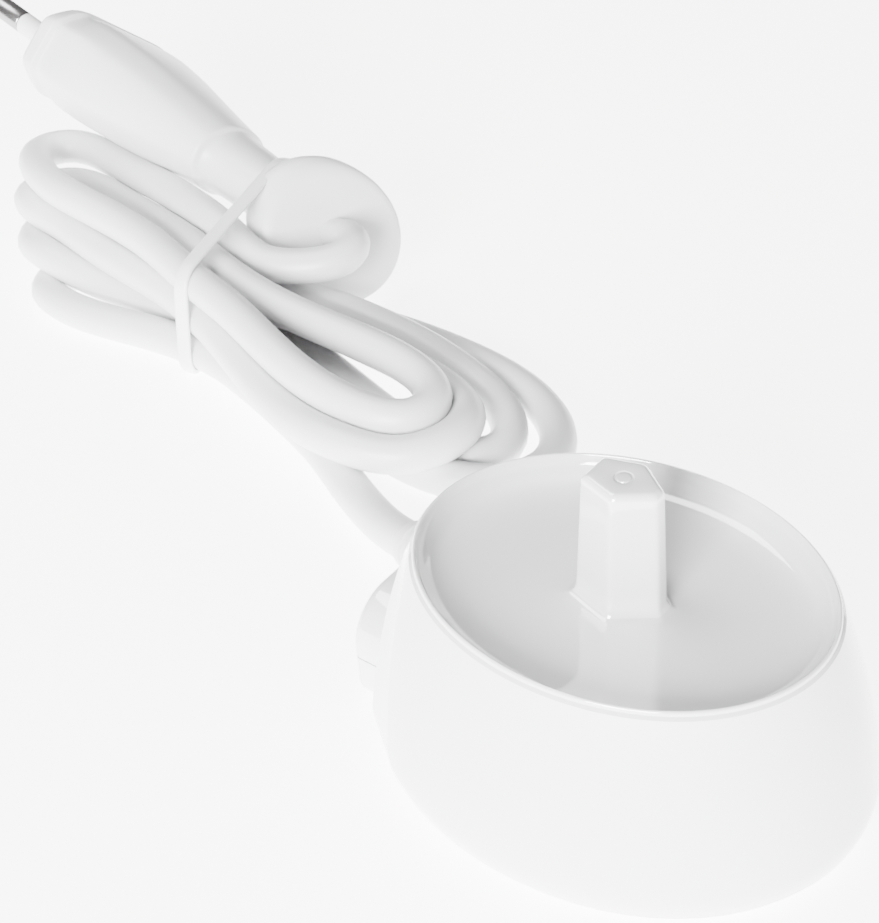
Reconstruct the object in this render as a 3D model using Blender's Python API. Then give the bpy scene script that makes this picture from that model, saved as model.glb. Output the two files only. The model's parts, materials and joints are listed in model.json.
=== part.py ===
"""Inductive toothbrush charging base with its mains lead tied in a hank and its flat two-pin plug.

Frame: +Z up, millimetre values scaled to metres, origin at the bottom centre of the charger,
front towards -Y, cord outlet at the rear towards +Y, everything standing on z = 0.
"""
import math

import bmesh
import bpy
from mathutils import Matrix, Vector

MM = 0.001
GAP = 0.3                       # clearance between touching pieces

# Housing shell ------------------------------------------------------------------------------
RIM_HALF_LENGTH = 27.0          # oval of the rim, along Y
RIM_HALF_WIDTH = 21.1           # oval of the rim, along X
RIM_HEIGHT = 30.3
FLARE_LENGTH = 7.2              # how much wider the foot is than the rim, along Y
FLARE_WIDTH = 6.7               # and along X
FLARE_POWER = 1.77
TUCK = 2.7                      # the wall curves back in below TUCK_HEIGHT
TUCK_HEIGHT = 7.0
REAR_FLAT_Y = 26.6
CREASE_FOOT_DEG = 33.0          # the edge of the rear face on the oval, low down
CREASE_RISE_DEG = 22.0          # and how far it swings to the rear at the rim
SHELL_BOTTOM = 2.9
WALL = 2.0
DISH_FLOOR = 26.6
OVAL_SIDES = 44
REAR_FLAT_STEPS = 6
WALL_LEVELS = (SHELL_BOTTOM, 4.2, 6.0, 9.0, 13.0, 18.0, 23.0, 27.0, 29.5)
INNER_WALL_LEVELS = (18.0, 12.0, 7.0, SHELL_BOTTOM)
RIM_PROFILE = ((30.0, 0.25), (30.3, 0.8), (30.1, 1.35), (29.4, 1.7), (28.3, 2.5), (27.4, 3.7), (26.8, 5.6))  # height, inset
DISH_FLOOR_INSET = 8.5

# Charging pin ---------------------------------------------------------------------------------
PIN_TOP = 44.4
PIN_HALF_SECTION = ((2.35, 4.45), (3.95, -0.75), (0.85, -5.1))   # right half of the keyed section, at the top
PIN_TAPER = 1.1                 # section at the foot over section at the top
PIN_BORE_SCALE = 0.62
PIN_BORE_TOP = 42.6
PIN_FLARE = ((DISH_FLOOR, 1.3), (27.0, 0.5), (27.9, 0.1))   # height, offset from the section
PIN_CROWN = ((43.4, 0.0), (44.1, -0.35), (PIN_TOP, -1.1))

# Base plate and feet ----------------------------------------------------------------------------
PLATE_BOTTOM = 0.6
PLATE_TOP = 2.6
FOOT_RADIUS = 4.0
FOOT_SPOTS = {"foot_front": (0.0, -24.0), "foot_left": (-18.5, 0.0),
              "foot_right": (18.5, 0.0), "foot_rear": (0.0, 20.0)}
FOOT_POCKET_DEPTH = 0.9
PLATE_PROFILE = ((0.6, 1.0, PLATE_BOTTOM), (1.2, 0.3, 1.3), (2.0, 0.3, PLATE_TOP))    # outline height, inset, level
BOARD_POSTS = ((-12.0, 8.0), (12.0, 8.0), (0.0, -16.0))
BOARD_POST_RADIUS = 1.8
SEAL_SECTION = ((2.4, 2.9), (4.0, 2.9), (4.0, 4.2), (2.4, 4.2))                       # inset from the wall, height

# Cord outlet ------------------------------------------------------------------------------------
OUTLET_LEFT, OUTLET_RIGHT = -12.0, 14.0
OUTLET_TOP = 16.5
OUTLET_SEAM = 8.1
OUTLET_END_Y = 33.735           # as far to the rear as the front wall reaches forward
OUTLET_ROUND = 7.0
OUTLET_BOTTOM = 2.4
BORE_START = Vector((7.0, 25.0, 9.8))
RELIEF_END = Vector((11.2, 42.4, 6.4))
RELIEF_RADII = (4.2, 4.1, 3.7)
ENTRY_RADIUS = 4.5

# Mains lead -------------------------------------------------------------------------------------
CORD_RADIUS = 3.0
LEAD_ROUTE = ((6.0, 21.0, 10.2), (7.0, 25.0, 9.8), (8.9, 33.0, 8.3), (11.2, 42.4, 6.4), (13.6, 49.0, 4.0),
              (16.6, 57.0, 3.1), (19.2, 63.5, 3.1), (21.6, 68.2, 3.3))
TAIL_ROUTE = ((60.9, 98.5, 13.3), (59.0, 95.9, 14.7), (57.0, 92.9, 15.2), (55.2, 90.0, 13.8), (53.3, 88.2, 11.4),
              (52.6, 87.6, 9.0), (51.0, 87.6, 8.4))
HANK_ENDS = (Vector((35.5, 58.0)), Vector((40.5, 158.0)))
HANK_RADIUS = 11.7
HANK_BOTTOM, HANK_TOP = 2.6, 13.6

# Plug -------------------------------------------------------------------------------------------
PLUG_FACE = Vector((66.9, 159.4, 27.1))
PLUG_HEADING_DEG = 5.3          # from +Y towards +X
PLUG_PITCH_DEG = 13.0
PLUG_ROLL_DEG = -50.0
PIN_SPACING = 18.2
PIN_RADIUS = 2.0
PIN_LENGTH = 19.0
SLEEVE_LENGTH = 10.0
GRIP_DEPTH = 56.0               # from the face to the grip disc
GRIP_TILT_DEG = 47.0            # the disc leans over, so the lead leaves it sideways
GRIP_TILT_AXIS_DEG = -72
# half width, half thickness, roundness, depth behind the face
PLUG_STATIONS = ((16.4, 6.9, 0.0, 0.0), (17.4, 8.0, 0.0, 1.1), (17.4, 8.6, 0.0, 3.0), (16.6, 9.0, 0.15, 8.0),
                 (14.8, 8.9, 0.4, 16.0), (12.3, 7.9, 0.7, 26.0), (9.8, 6.6, 0.9, 36.5), (8.6, 5.9, 1.0, 37.5),
                 (7.2, 5.6, 1.0, 44.0), (6.2, 5.5, 1.0, 49.0))
# half width, half thickness, depth behind GRIP_DEPTH
GRIP_STATIONS = ((6.4, 6.0, -2.6), (10.0, 9.4, -1.2), (11.4, 10.8, 1.2), (11.4, 10.8, 3.2), (10.2, 9.6, 5.4),
                 (6.5, 6.0, 6.2))
PIN_BORE_STEPS = ((PIN_RADIUS + GAP, -3.0), (PIN_RADIUS + GAP, 3.3), (1.5, 3.3), (1.5, 8.5))   # radius, depth
PIN_CORE_RADIUS = 1.2
SLEEVE_BORE = 1.5

# Tie --------------------------------------------------------------------------------------------
TIE_CENTRE = Vector((39.4, 106.5))
TIE_DIRECTION = Vector((0.98, 0.19)).normalized()
TIE_RADIUS = 0.9
TIE_OUTLINE = ((-14.8, 1.2), (12.5, 1.2), (24.0, 6.5), (31.5, 11.0), (33.0, 17.0), (30.0, 22.5), (24.0, 24.8),
               (17.0, 23.6), (-8.0, 15.5), (-14.8, 13.5))

# Inside -----------------------------------------------------------------------------------------
BOARD_BOTTOM, BOARD_TOP = 5.0, 6.6
BOARD_HALF = (20.0, 24.5)       # half width and half length of the oval board
BOARD_REAR_Y = 17.6
FERRITE_RADIUS = 1.9
BOBBIN_BOTTOM, BOBBIN_TOP = 7.0, 23.8
BOBBIN_FLANGE = 8.5
BOBBIN_HUB = 3.4
FERRITE_BOTTOM, FERRITE_TOP = 7.5, 42.0
CLAMP_POSTS = ((-1.0, 20.3), (13.6, 20.3))
CLAMP_POST_TOP = 13.3
CLAMP_POST_RADIUS = 1.9
CLAMP_BAR = (18.6, 3.8, 2.2)
SCREW_HOLE_RADIUS = 1.2
CORE_RADIUS = 0.8               # one insulated core of the lead
TERMINAL_SPOTS = {"terminal_left": (4.6, 13.4), "terminal_right": (9.6, 13.4)}
TERMINAL_SIZE = (3.4, 4.0, 3.2)


# ------------------------------------------------------------------------------------ helpers --
def clear_scene():
    """Remove every object that the file opens with."""
    for obj in list(bpy.data.objects):
        bpy.data.objects.remove(obj, do_unlink=True)


def finish(name, colour, roughness, metallic=0.0):
    """A plain Principled material."""
    mat = bpy.data.materials.new(name)
    mat.use_nodes = True
    shader = mat.node_tree.nodes["Principled BSDF"]
    shader.inputs["Base Color"].default_value = (*colour, 1.0)
    shader.inputs["Roughness"].default_value = roughness
    shader.inputs["Metallic"].default_value = metallic
    return mat


def add_mesh(name, verts, faces, mat, smooth_deg=35.0):
    """A mesh object from millimetre vertices, normals out, shaded smooth below smooth_deg."""
    mesh = bpy.data.meshes.new(name)
    mesh.from_pydata([tuple(Vector(v) * MM) for v in verts], [], faces)
    bm = bmesh.new()
    bm.from_mesh(mesh)
    bmesh.ops.recalc_face_normals(bm, faces=bm.faces)
    bm.to_mesh(mesh)
    bm.free()
    mesh.shade_smooth()
    mesh.set_sharp_from_angle(angle=math.radians(smooth_deg))
    obj = bpy.data.objects.new(name, mesh)
    bpy.context.collection.objects.link(obj)
    obj.data.materials.append(mat)
    return obj


def loft(name, rings, mat, smooth_deg=35.0, closed=False):
    """Quads between consecutive rings of equal count; the ends are fanned, or joined when closed."""
    count = len(rings[0])
    verts = [v for ring in rings for v in ring]
    faces = []
    last = len(rings) if closed else len(rings) - 1
    for level in range(last):
        low, high = level * count, ((level + 1) % len(rings)) * count
        for k in range(count):
            nxt = (k + 1) % count
            faces.append((low + k, low + nxt, high + nxt, high + k))
    if not closed:
        for ring, start in ((rings[0], 0), (rings[-1], (len(rings) - 1) * count)):
            centre = sum((Vector(v) for v in ring), Vector()) / count
            verts.append(centre)
            tip = len(verts) - 1
            faces.extend((start + k, start + (k + 1) % count, tip) for k in range(count))
    return add_mesh(name, verts, faces, mat, smooth_deg)


def ring_about(centre, radius, sides, along=Vector((0, 0, 1)), stretch=1.0):
    """A circle, or an oval stretched sideways, about an axis."""
    side = along.orthogonal().normalized() if abs(along.z) < 0.9 else Vector((1, 0, 0))
    side = (side - along * side.dot(along)).normalized()
    other = along.cross(side)
    turns = [2 * math.pi * k / sides for k in range(sides)]
    return [centre + side * math.cos(a) * radius * stretch + other * math.sin(a) * radius for a in turns]


def turned(name, profile, mat, base=(0, 0), sides=20, smooth_deg=35.0):
    """A turned solid about a vertical axis from (radius, z) pairs."""
    rings = [ring_about(Vector((*base, z)), radius, sides) for radius, z in profile]
    return loft(name, rings, mat, smooth_deg)


def sleeve(name, inner, outer, low, high, mat, base=(0, 0), sides=20):
    """A plain tube wall about a vertical axis."""
    corners = ((inner, low), (outer, low), (outer, high), (inner, high))
    rings = [ring_about(Vector((*base, z)), radius, sides) for radius, z in corners]
    return loft(name, rings, mat, closed=True)


def block(name, centre, size, mat, bevel=0.4):
    """A box with its edges broken."""
    half = Vector(size) / 2
    corners = [(x, y, z) for z in (-half.z, half.z) for y in (-half.y, half.y) for x in (-half.x, half.x)]
    verts = [Vector(c) + Vector(centre) for c in corners]
    faces = [(0, 1, 3, 2), (4, 5, 7, 6), (0, 1, 5, 4), (2, 3, 7, 6), (0, 2, 6, 4), (1, 3, 7, 5)]
    obj = add_mesh(name, verts, faces, mat)
    edge = obj.modifiers.new("edges", "BEVEL")
    edge.width = bevel * MM
    edge.segments = 2
    edge.limit_method = "ANGLE"
    return obj


def rod(name, start, end, radii, mat, sides=16):
    """A straight solid rod whose radius runs through radii from start to end."""
    start, end = Vector(start), Vector(end)
    along = (end - start).normalized()
    last = len(radii) - 1
    rings = [ring_about(start.lerp(end, k / last), r, sides, along) for k, r in enumerate(radii)]
    return loft(name, rings, mat)


def combine(obj, tool, operation="DIFFERENCE"):
    """Cut tool out of obj, or weld it on; the tool is only a helper."""
    tool.hide_render = True
    tool.display_type = "WIRE"
    mod = obj.modifiers.new(tool.name, "BOOLEAN")
    mod.operation = operation
    mod.object = tool


def smooth_path(route, spacing):
    """Points a given spacing apart on a Catmull-Rom curve through the route's own points."""
    pts = [Vector(p) for p in route]
    pts = [pts[0] * 2 - pts[1], *pts, pts[-1] * 2 - pts[-2]]
    fine = []
    steps = 24
    for a, b, c, d in zip(pts, pts[1:], pts[2:], pts[3:]):
        for k in range(steps):
            t = k / steps
            fine.append(0.5 * (2 * b + (c - a) * t + (2 * a - 5 * b + 4 * c - d) * t * t
                               + (3 * b - a - 3 * c + d) * t ** 3))
    fine.append(pts[-2])
    lengths = [0.0]
    for a, b in zip(fine, fine[1:]):
        lengths.append(lengths[-1] + (b - a).length)
    count = max(2, round(lengths[-1] / spacing))
    path, at = [], 0
    for k in range(count + 1):
        want = lengths[-1] * k / count
        while at < len(fine) - 2 and lengths[at + 1] < want:
            at += 1
        span = lengths[at + 1] - lengths[at]
        path.append(fine[at].lerp(fine[at + 1], (want - lengths[at]) / span))
    return path


def cable(name, points, radius, mat, cyclic=False, sides_level=2):
    """A round cable along points."""
    curve = bpy.data.curves.new(name, "CURVE")
    curve.dimensions = "3D"
    curve.bevel_depth = radius * MM
    curve.bevel_resolution = sides_level
    curve.use_fill_caps = not cyclic
    spline = curve.splines.new("POLY")
    spline.points.add(len(points) - 1)
    for point, place in zip(spline.points, points):
        point.co = (*(Vector(place) * MM), 1.0)
    spline.use_cyclic_u = cyclic
    obj = bpy.data.objects.new(name, curve)
    bpy.context.collection.objects.link(obj)
    curve.materials.append(mat)
    return obj


# ------------------------------------------------------------------------------------ housing --
def wall_halves(z):
    """Half length and half width of the outer wall at height z."""
    rise = 1 - (z / RIM_HEIGHT) ** FLARE_POWER
    tuck = TUCK * max(0.0, 1 - z / TUCK_HEIGHT) ** 2
    return RIM_HALF_LENGTH + FLARE_LENGTH * rise - tuck, RIM_HALF_WIDTH + FLARE_WIDTH * rise - tuck


def wall_ring(z, inset=0.0, level=None):
    """The housing's outline at height z, drawn inset from the wall, at height level."""
    half_length, half_width = (half - inset for half in wall_halves(z))
    flat = REAR_FLAT_Y - inset
    crease = math.radians(CREASE_FOOT_DEG + CREASE_RISE_DEG * (z / RIM_HEIGHT) ** 1.5)
    corner_x = half_width * math.cos(math.asin(min(flat / half_length, 0.985)))
    height = z if level is None else level
    sweep = math.pi + 2 * crease
    ring = []
    for k in range(OVAL_SIDES + 1):
        t = crease - sweep * k / OVAL_SIDES
        ring.append(Vector((half_width * math.cos(t), half_length * math.sin(t), height)))
    left_crease, right_crease = ring[-1], ring[0]
    left, right = Vector((-corner_x, flat, height)), Vector((corner_x, flat, height))
    ring.append(left_crease.lerp(left, 0.5))
    ring.extend(left.lerp(right, k / REAR_FLAT_STEPS) for k in range(REAR_FLAT_STEPS + 1))
    ring.append(right.lerp(right_crease, 0.5))
    return ring


def pin_reach(angle, scale):
    """Distance from the pin's axis to its keyed section at a polar angle."""
    right = [Vector(p) for p in PIN_HALF_SECTION]
    corners = right + [Vector((-p.x, p.y)) for p in reversed(right)]
    ray = Vector((math.cos(angle), math.sin(angle)))
    best = 0.0
    for a, b in zip(corners, corners[1:] + corners[:1]):
        edge = b - a
        cross = ray.x * edge.y - ray.y * edge.x
        if abs(cross) < 1e-9:
            continue
        reach = (a.x * edge.y - a.y * edge.x) / cross
        part = (a.x * ray.y - a.y * ray.x) / cross
        if reach > 0 and -1e-9 <= part <= 1 + 1e-9:
            best = max(best, reach)
    return best * scale


def pin_ring(z, scale, offset=0.0):
    """The pin's section at height z, its points in the same directions as the wall's."""
    ring = []
    for p in wall_ring(RIM_HEIGHT):
        angle = math.atan2(p.y, p.x)
        reach = pin_reach(angle, scale) + offset
        ring.append(Vector((reach * math.cos(angle), reach * math.sin(angle), z)))
    return ring


def blend_rings(first, second, share):
    """The ring a share of the way from first to second."""
    return [a.lerp(b, share) for a, b in zip(first, second)]


def housing_shell(mat):
    """The one-piece moulding: flared wall, rim, dish and hollow charging pin, open underneath."""
    ceiling = DISH_FLOOR - WALL
    bore_low = pin_ring(ceiling, PIN_TAPER * PIN_BORE_SCALE)
    inner_edge = wall_ring(24.0, WALL + 2.5, ceiling)
    rings = [pin_ring(PIN_BORE_TOP, PIN_BORE_SCALE), bore_low,
             blend_rings(bore_low, inner_edge, 0.5), inner_edge, wall_ring(23.2, WALL)]
    rings += [wall_ring(z, WALL) for z in INNER_WALL_LEVELS]
    rings += [wall_ring(z) for z in WALL_LEVELS]
    rings += [wall_ring(RIM_HEIGHT, inset, z) for z, inset in RIM_PROFILE]
    floor_edge = wall_ring(RIM_HEIGHT, DISH_FLOOR_INSET, DISH_FLOOR)
    flare = [pin_ring(z, PIN_TAPER, offset) for z, offset in PIN_FLARE]
    rings += [floor_edge, blend_rings(floor_edge, flare[0], 0.5), *flare]
    rings += [pin_ring(z, 1.0, offset) for z, offset in PIN_CROWN]
    shell = loft("housing_shell", rings, mat, 30.0)
    combine(shell, outlet_bore("cord_entry_tool", mat))


def base_plate(mat):
    """Bottom cover with foot pockets, board posts and cord clamp posts."""
    rings = [wall_ring(z, inset, level) for z, inset, level in PLATE_PROFILE]
    plate = loft("base_plate", rings, mat, 30.0)
    for name, spot in FOOT_SPOTS.items():
        pocket_top = PLATE_BOTTOM + FOOT_POCKET_DEPTH
        profile = ((FOOT_RADIUS + GAP, -1.0), (FOOT_RADIUS + GAP, pocket_top))
        combine(plate, turned(name + "_pocket", profile, mat, spot))
    posts = [(spot, BOARD_POST_RADIUS, BOARD_BOTTOM - GAP) for spot in BOARD_POSTS]
    posts += [(spot, CLAMP_POST_RADIUS, CLAMP_POST_TOP) for spot in CLAMP_POSTS]
    for number, (spot, radius, top) in enumerate(posts):
        post = turned(f"post_{number}_tool", ((radius, PLATE_TOP - 1.0), (radius, top)), mat, spot, 12)
        combine(plate, post, "UNION")
    for number, spot in enumerate(CLAMP_POSTS):
        hole = turned(f"screw_hole_{number}_tool", ((SCREW_HOLE_RADIUS, 7.0), (SCREW_HOLE_RADIUS, CLAMP_POST_TOP + 1)), mat, spot, 10)
        combine(plate, hole)


def feet(mat):
    """Four soft pads that the charger stands on."""
    top = PLATE_BOTTOM + FOOT_POCKET_DEPTH - GAP
    for name, spot in FOOT_SPOTS.items():
        turned(name, ((FOOT_RADIUS - 0.4, 0.0), (FOOT_RADIUS, 0.3), (FOOT_RADIUS, top)), mat, spot)


def base_seal(mat):
    """Gasket that runs inside the wall on the base plate."""
    loft("base_seal", [wall_ring(SHELL_BOTTOM, inset, z) for inset, z in SEAL_SECTION], mat, closed=True)


# ------------------------------------------------------------------------------------- outlet --
def outlet_outline(low, high, shrink=0.0):
    """The outlet's section across X and Z between two heights, rounded at its top corners."""
    left, right, top = OUTLET_LEFT + shrink, OUTLET_RIGHT - shrink, OUTLET_TOP - shrink
    bottom = low + (shrink if low < OUTLET_SEAM - 1 else 0)
    points = [(left, bottom), (right, bottom)]
    if high < OUTLET_SEAM + 1:
        return points + [(right, high), (left, high)]
    for centre_x, start in ((right - OUTLET_ROUND, 0.0), (left + OUTLET_ROUND, 90.0)):
        for k in range(5):
            t = math.radians(start + 22.5 * k)
            points.append((centre_x + OUTLET_ROUND * math.cos(t), top - OUTLET_ROUND + OUTLET_ROUND * math.sin(t)))
    return points


def outlet_bore(name, mat):
    """Cutter that clears the strain relief through the rear wall and the outlet."""
    direction = (RELIEF_END - BORE_START).normalized()
    return rod(name, BORE_START - direction * 4, RELIEF_END + direction * 3, (ENTRY_RADIUS, ENTRY_RADIUS), mat)


def outlet_half(name, low, high, mat):
    """One half of the cord outlet, butted on the housing's rear face and bored for the lead."""
    stations = ((REAR_FLAT_Y + GAP, 0.0), (OUTLET_END_Y - 1.0, 0.0), (OUTLET_END_Y, 0.8))
    rings = [[Vector((x, y, z)) for x, z in outlet_outline(low, high, shrink)] for y, shrink in stations]
    half = loft(name, rings, mat, 30.0)
    combine(half, outlet_bore(name + "_bore_tool", mat))


def strain_relief(mat):
    """Tapered rubber sleeve about the lead where it leaves the outlet."""
    direction = (RELIEF_END - BORE_START).normalized()
    bore = CORD_RADIUS + GAP
    outer = [ring_about(BORE_START.lerp(RELIEF_END, k / 2), r, 16, direction) for k, r in enumerate(RELIEF_RADII)]
    inner = [ring_about(place, bore, 16, direction) for place in (RELIEF_END, BORE_START)]
    loft("strain_relief", outer + inner, mat, closed=True)


# --------------------------------------------------------------------------------------- lead --
def lead_and_hank(mat):
    """The lead from the clamp to the hank, the hank's outer shape, and the tail to the plug."""
    cable("cord_lead", smooth_path(LEAD_ROUTE, 7.0), CORD_RADIUS, mat)
    cable("cord_tail", smooth_path(TAIL_ROUTE, 4.0), CORD_RADIUS, mat)
    near, far = HANK_ENDS
    heading = (far - near).normalized()
    facing = math.atan2(heading.y, heading.x)
    outline = []
    for centre, start in ((near, facing + math.pi / 2), (far, facing - math.pi / 2)):
        for k in range(9):
            t = start + math.pi * k / 8
            outline.append((centre, Vector((math.cos(t), math.sin(t)))))
    levels = ((HANK_BOTTOM, -2.5), (HANK_BOTTOM + 2.5, 0.0), (HANK_TOP - 2.5, 0.0), (HANK_TOP, -2.5))
    rings = []
    for z, grow in levels:
        rings.append([Vector((*(centre + out * (HANK_RADIUS + grow)), z)) for centre, out in outline])
    loft("cord_hank", rings, mat, 40.0)


def cable_tie(mat):
    """Plain plastic tie round the hank and the plug's neck."""
    points = []
    closed = [*TIE_OUTLINE, TIE_OUTLINE[0]]
    for (u, z), (u_next, z_next) in zip(closed, closed[1:]):
        for share in (0.0, 0.5):
            across = u + (u_next - u) * share
            spot = TIE_CENTRE + TIE_DIRECTION * across
            points.append(Vector((*spot, z + (z_next - z) * share)))
    cable("cable_tie", points, TIE_RADIUS, mat, cyclic=True)


# --------------------------------------------------------------------------------------- plug --
def plug_frame():
    """Matrix from the plug's own axes (x across, y thickness, z from the tail to the face) to the world."""
    heading, pitch = math.radians(PLUG_HEADING_DEG), math.radians(PLUG_PITCH_DEG)
    along = Vector((math.sin(heading) * math.cos(pitch), math.cos(heading) * math.cos(pitch), math.sin(pitch)))
    up = (Vector((0, 0, 1)) - along * along.z).normalized()
    side = along.cross(up)
    roll = math.radians(PLUG_ROLL_DEG)
    across = up * math.cos(roll) + side * math.sin(roll)
    thick = along.cross(across)
    return Matrix((across, thick, along)).transposed()


def plug_point(x, y, depth):
    """World place of a point of the plug, depth counted from the face towards the tail."""
    return PLUG_FACE + plug_frame() @ Vector((x, y, -depth))


def plug_section(half_width, half_thick, corner, depth, turn=None):
    """A flat hexagon that rounds to an oval as corner goes from 0 to 1."""
    ring = []
    sides = 24
    for k in range(sides):
        a = 2 * math.pi * k / sides
        c, s = math.cos(a), math.sin(a)
        flat_reach = min(1 / max(abs(c), 1e-6), 1 / max(abs(s), 1e-6), 1.36 / (abs(c) * 0.95 + abs(s) * 0.72))
        reach = flat_reach + (1.0 - flat_reach) * corner
        point = Vector((half_width * c * reach, half_thick * s * reach, 0))
        if turn is not None:
            point = turn @ point
        ring.append(PLUG_FACE + plug_frame() @ (point + Vector((0, 0, -depth))))
    return ring


def plug_body(mat):
    """Moulded plug: flat head, tapered body, neck and the tilted oval grip disc at its tail."""
    rings = [plug_section(*station) for station in PLUG_STATIONS]
    about = math.radians(GRIP_TILT_AXIS_DEG)
    tilt = Matrix.Rotation(math.radians(GRIP_TILT_DEG), 3, Vector((math.cos(about), math.sin(about), 0)))
    rings += [plug_section(w, t, 1.0, GRIP_DEPTH + depth, tilt) for w, t, depth in GRIP_STATIONS]
    body = loft("plug_body", rings, mat, 40.0)
    for side, x in (("upper", PIN_SPACING / 2), ("lower", -PIN_SPACING / 2)):
        along = (plug_point(x, 0, -1) - plug_point(x, 0, 0)).normalized()
        rings = [ring_about(plug_point(x, 0, depth), radius, 14, along) for radius, depth in PIN_BORE_STEPS]
        combine(body, loft(f"plug_bore_{side}_tool", rings, mat))


def plug_pins(metal, plastic):
    """Two round contact pins, each with an insulating sleeve on the half next to the face."""
    bare = SLEEVE_LENGTH + GAP
    for side, x in (("upper", PIN_SPACING / 2), ("lower", -PIN_SPACING / 2)):
        along = (plug_point(x, 0, -1) - plug_point(x, 0, 0)).normalized()
        steps = ((PIN_CORE_RADIUS, 8.0), (PIN_CORE_RADIUS, -bare), (PIN_RADIUS, -bare), (PIN_RADIUS, 0.8 - PIN_LENGTH),
                 (1.4, 0.1 - PIN_LENGTH), (0.7, -PIN_LENGTH))
        rings = [ring_about(plug_point(x, 0, depth), radius, 14, along) for radius, depth in steps]
        loft(f"plug_pin_{side}", rings, metal)
        corners = ((SLEEVE_BORE, 3.0), (PIN_RADIUS, 3.0), (PIN_RADIUS, -SLEEVE_LENGTH), (SLEEVE_BORE, -SLEEVE_LENGTH))
        rings = [ring_about(plug_point(x, 0, depth), radius, 14, along) for radius, depth in corners]
        loft(f"pin_sleeve_{side}", rings, plastic, closed=True)


# ------------------------------------------------------------------------------------- inside --
def coil(ferrite, plastic, copper):
    """Ferrite rod in the pin, the bobbin on the board and the primary winding on it."""
    turned("ferrite_core", ((FERRITE_RADIUS, FERRITE_BOTTOM), (FERRITE_RADIUS, FERRITE_TOP)), ferrite, sides=16)
    hub, bore = BOBBIN_HUB, FERRITE_RADIUS + GAP
    corners = ((bore, BOBBIN_BOTTOM), (BOBBIN_FLANGE, BOBBIN_BOTTOM), (BOBBIN_FLANGE, BOBBIN_BOTTOM + 1.2),
               (hub, BOBBIN_BOTTOM + 1.2), (hub, BOBBIN_TOP - 1.2), (BOBBIN_FLANGE, BOBBIN_TOP - 1.2),
               (BOBBIN_FLANGE, BOBBIN_TOP), (bore, BOBBIN_TOP))
    rings = [ring_about(Vector((0, 0, z)), radius, 24) for radius, z in corners]
    loft("coil_bobbin", rings, plastic, closed=True)
    sleeve("primary_winding", hub + GAP, BOBBIN_FLANGE - 1.0, BOBBIN_BOTTOM + 1.5, BOBBIN_TOP - 1.5, copper, sides=24)


def board(fibre):
    """Oval circuit board cut straight at the rear."""
    outline = []
    half_x, half_y = BOARD_HALF
    for k in range(36):
        a = 2 * math.pi * k / 36
        outline.append((half_x * math.cos(a), min(half_y * math.sin(a), BOARD_REAR_Y)))
    rings = [[Vector((x, y, z)) for x, y in outline] for z in (BOARD_BOTTOM, BOARD_TOP)]
    loft("circuit_board", rings, fibre, 30.0)


def components(plastic, aluminium, epoxy, ceramic, copper, metal):
    """The parts of the drive circuit, standing on the board."""
    floor = BOARD_TOP + GAP
    turned("filter_capacitor", ((3.7, floor), (4.0, floor + 0.4), (4.0, floor + 10.6), (3.6, floor + 11.0)),
           aluminium, (12.5, -10.0), 18)
    block("film_capacitor", (-12.5, -9.5, floor + 4.5), (5.0, 10.0, 9.0), plastic, 0.8)
    block("bridge_rectifier", (-13.5, 3.6, floor + 1.3), (6.0, 5.0, 2.6), epoxy)
    block("switching_transistor", (14.5, 2.0, floor + 2.4), (3.6, 4.8, 4.8), epoxy, 0.8)
    rod("fusible_resistor", (-11.0, 12.6, floor + 1.9), (-2.5, 12.6, floor + 1.9), (1.6, 1.9, 1.9, 1.6), ceramic, 12)
    turned("filter_inductor", ((4.0, floor), (4.0, floor + 1.0), (3.2, floor + 1.2), (3.2, floor + 6.0),
                               (4.0, floor + 6.2), (4.0, floor + 7.2)), copper, (0.0, -17.5), 16)
    for name, spot in TERMINAL_SPOTS.items():
        block(name, (*spot, floor + TERMINAL_SIZE[2] / 2), TERMINAL_SIZE, metal, 0.3)


def wiring(brown, blue, plastic, metal):
    """The lead's two cores to the terminals, and the clamp bar that holds the lead."""
    top = BOARD_TOP + GAP + TERMINAL_SIZE[2]
    for name, x_cord, terminal, mat in (("wire_brown", 5.2, "terminal_left", brown), ("wire_blue", 7.1, "terminal_right", blue)):
        x_end, y_end = TERMINAL_SPOTS[terminal]
        route = ((x_cord, 20.4, 10.4), (x_cord, 18.6, 11.4), (x_end, 16.4, 12.6), (x_end, 14.2, 11.9),
                 (x_end, y_end, top + GAP))
        cable(name, smooth_path(route, 1.6), CORE_RADIUS, mat)
    bar_low = CLAMP_POST_TOP + GAP
    head = bar_low + CLAMP_BAR[2] + GAP
    middle_x = sum(x for x, _ in CLAMP_POSTS) / 2
    bar = block("cord_clamp", (middle_x, CLAMP_POSTS[0][1], bar_low + CLAMP_BAR[2] / 2), CLAMP_BAR, plastic, 0.4)
    hole = ((SCREW_HOLE_RADIUS, bar_low - 1), (SCREW_HOLE_RADIUS, head))
    for number, (x, y) in enumerate(CLAMP_POSTS):
        combine(bar, turned(f"clamp_hole_{number}_tool", hole, plastic, (x, y), 10))
        profile = ((0.6, 7.6), (0.85, 8.2), (0.85, head), (1.7, head), (1.7, head + 0.9), (1.2, head + 1.3))
        turned(f"clamp_screw_{('left', 'right')[number]}", profile, metal, (x, y), 12)


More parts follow.
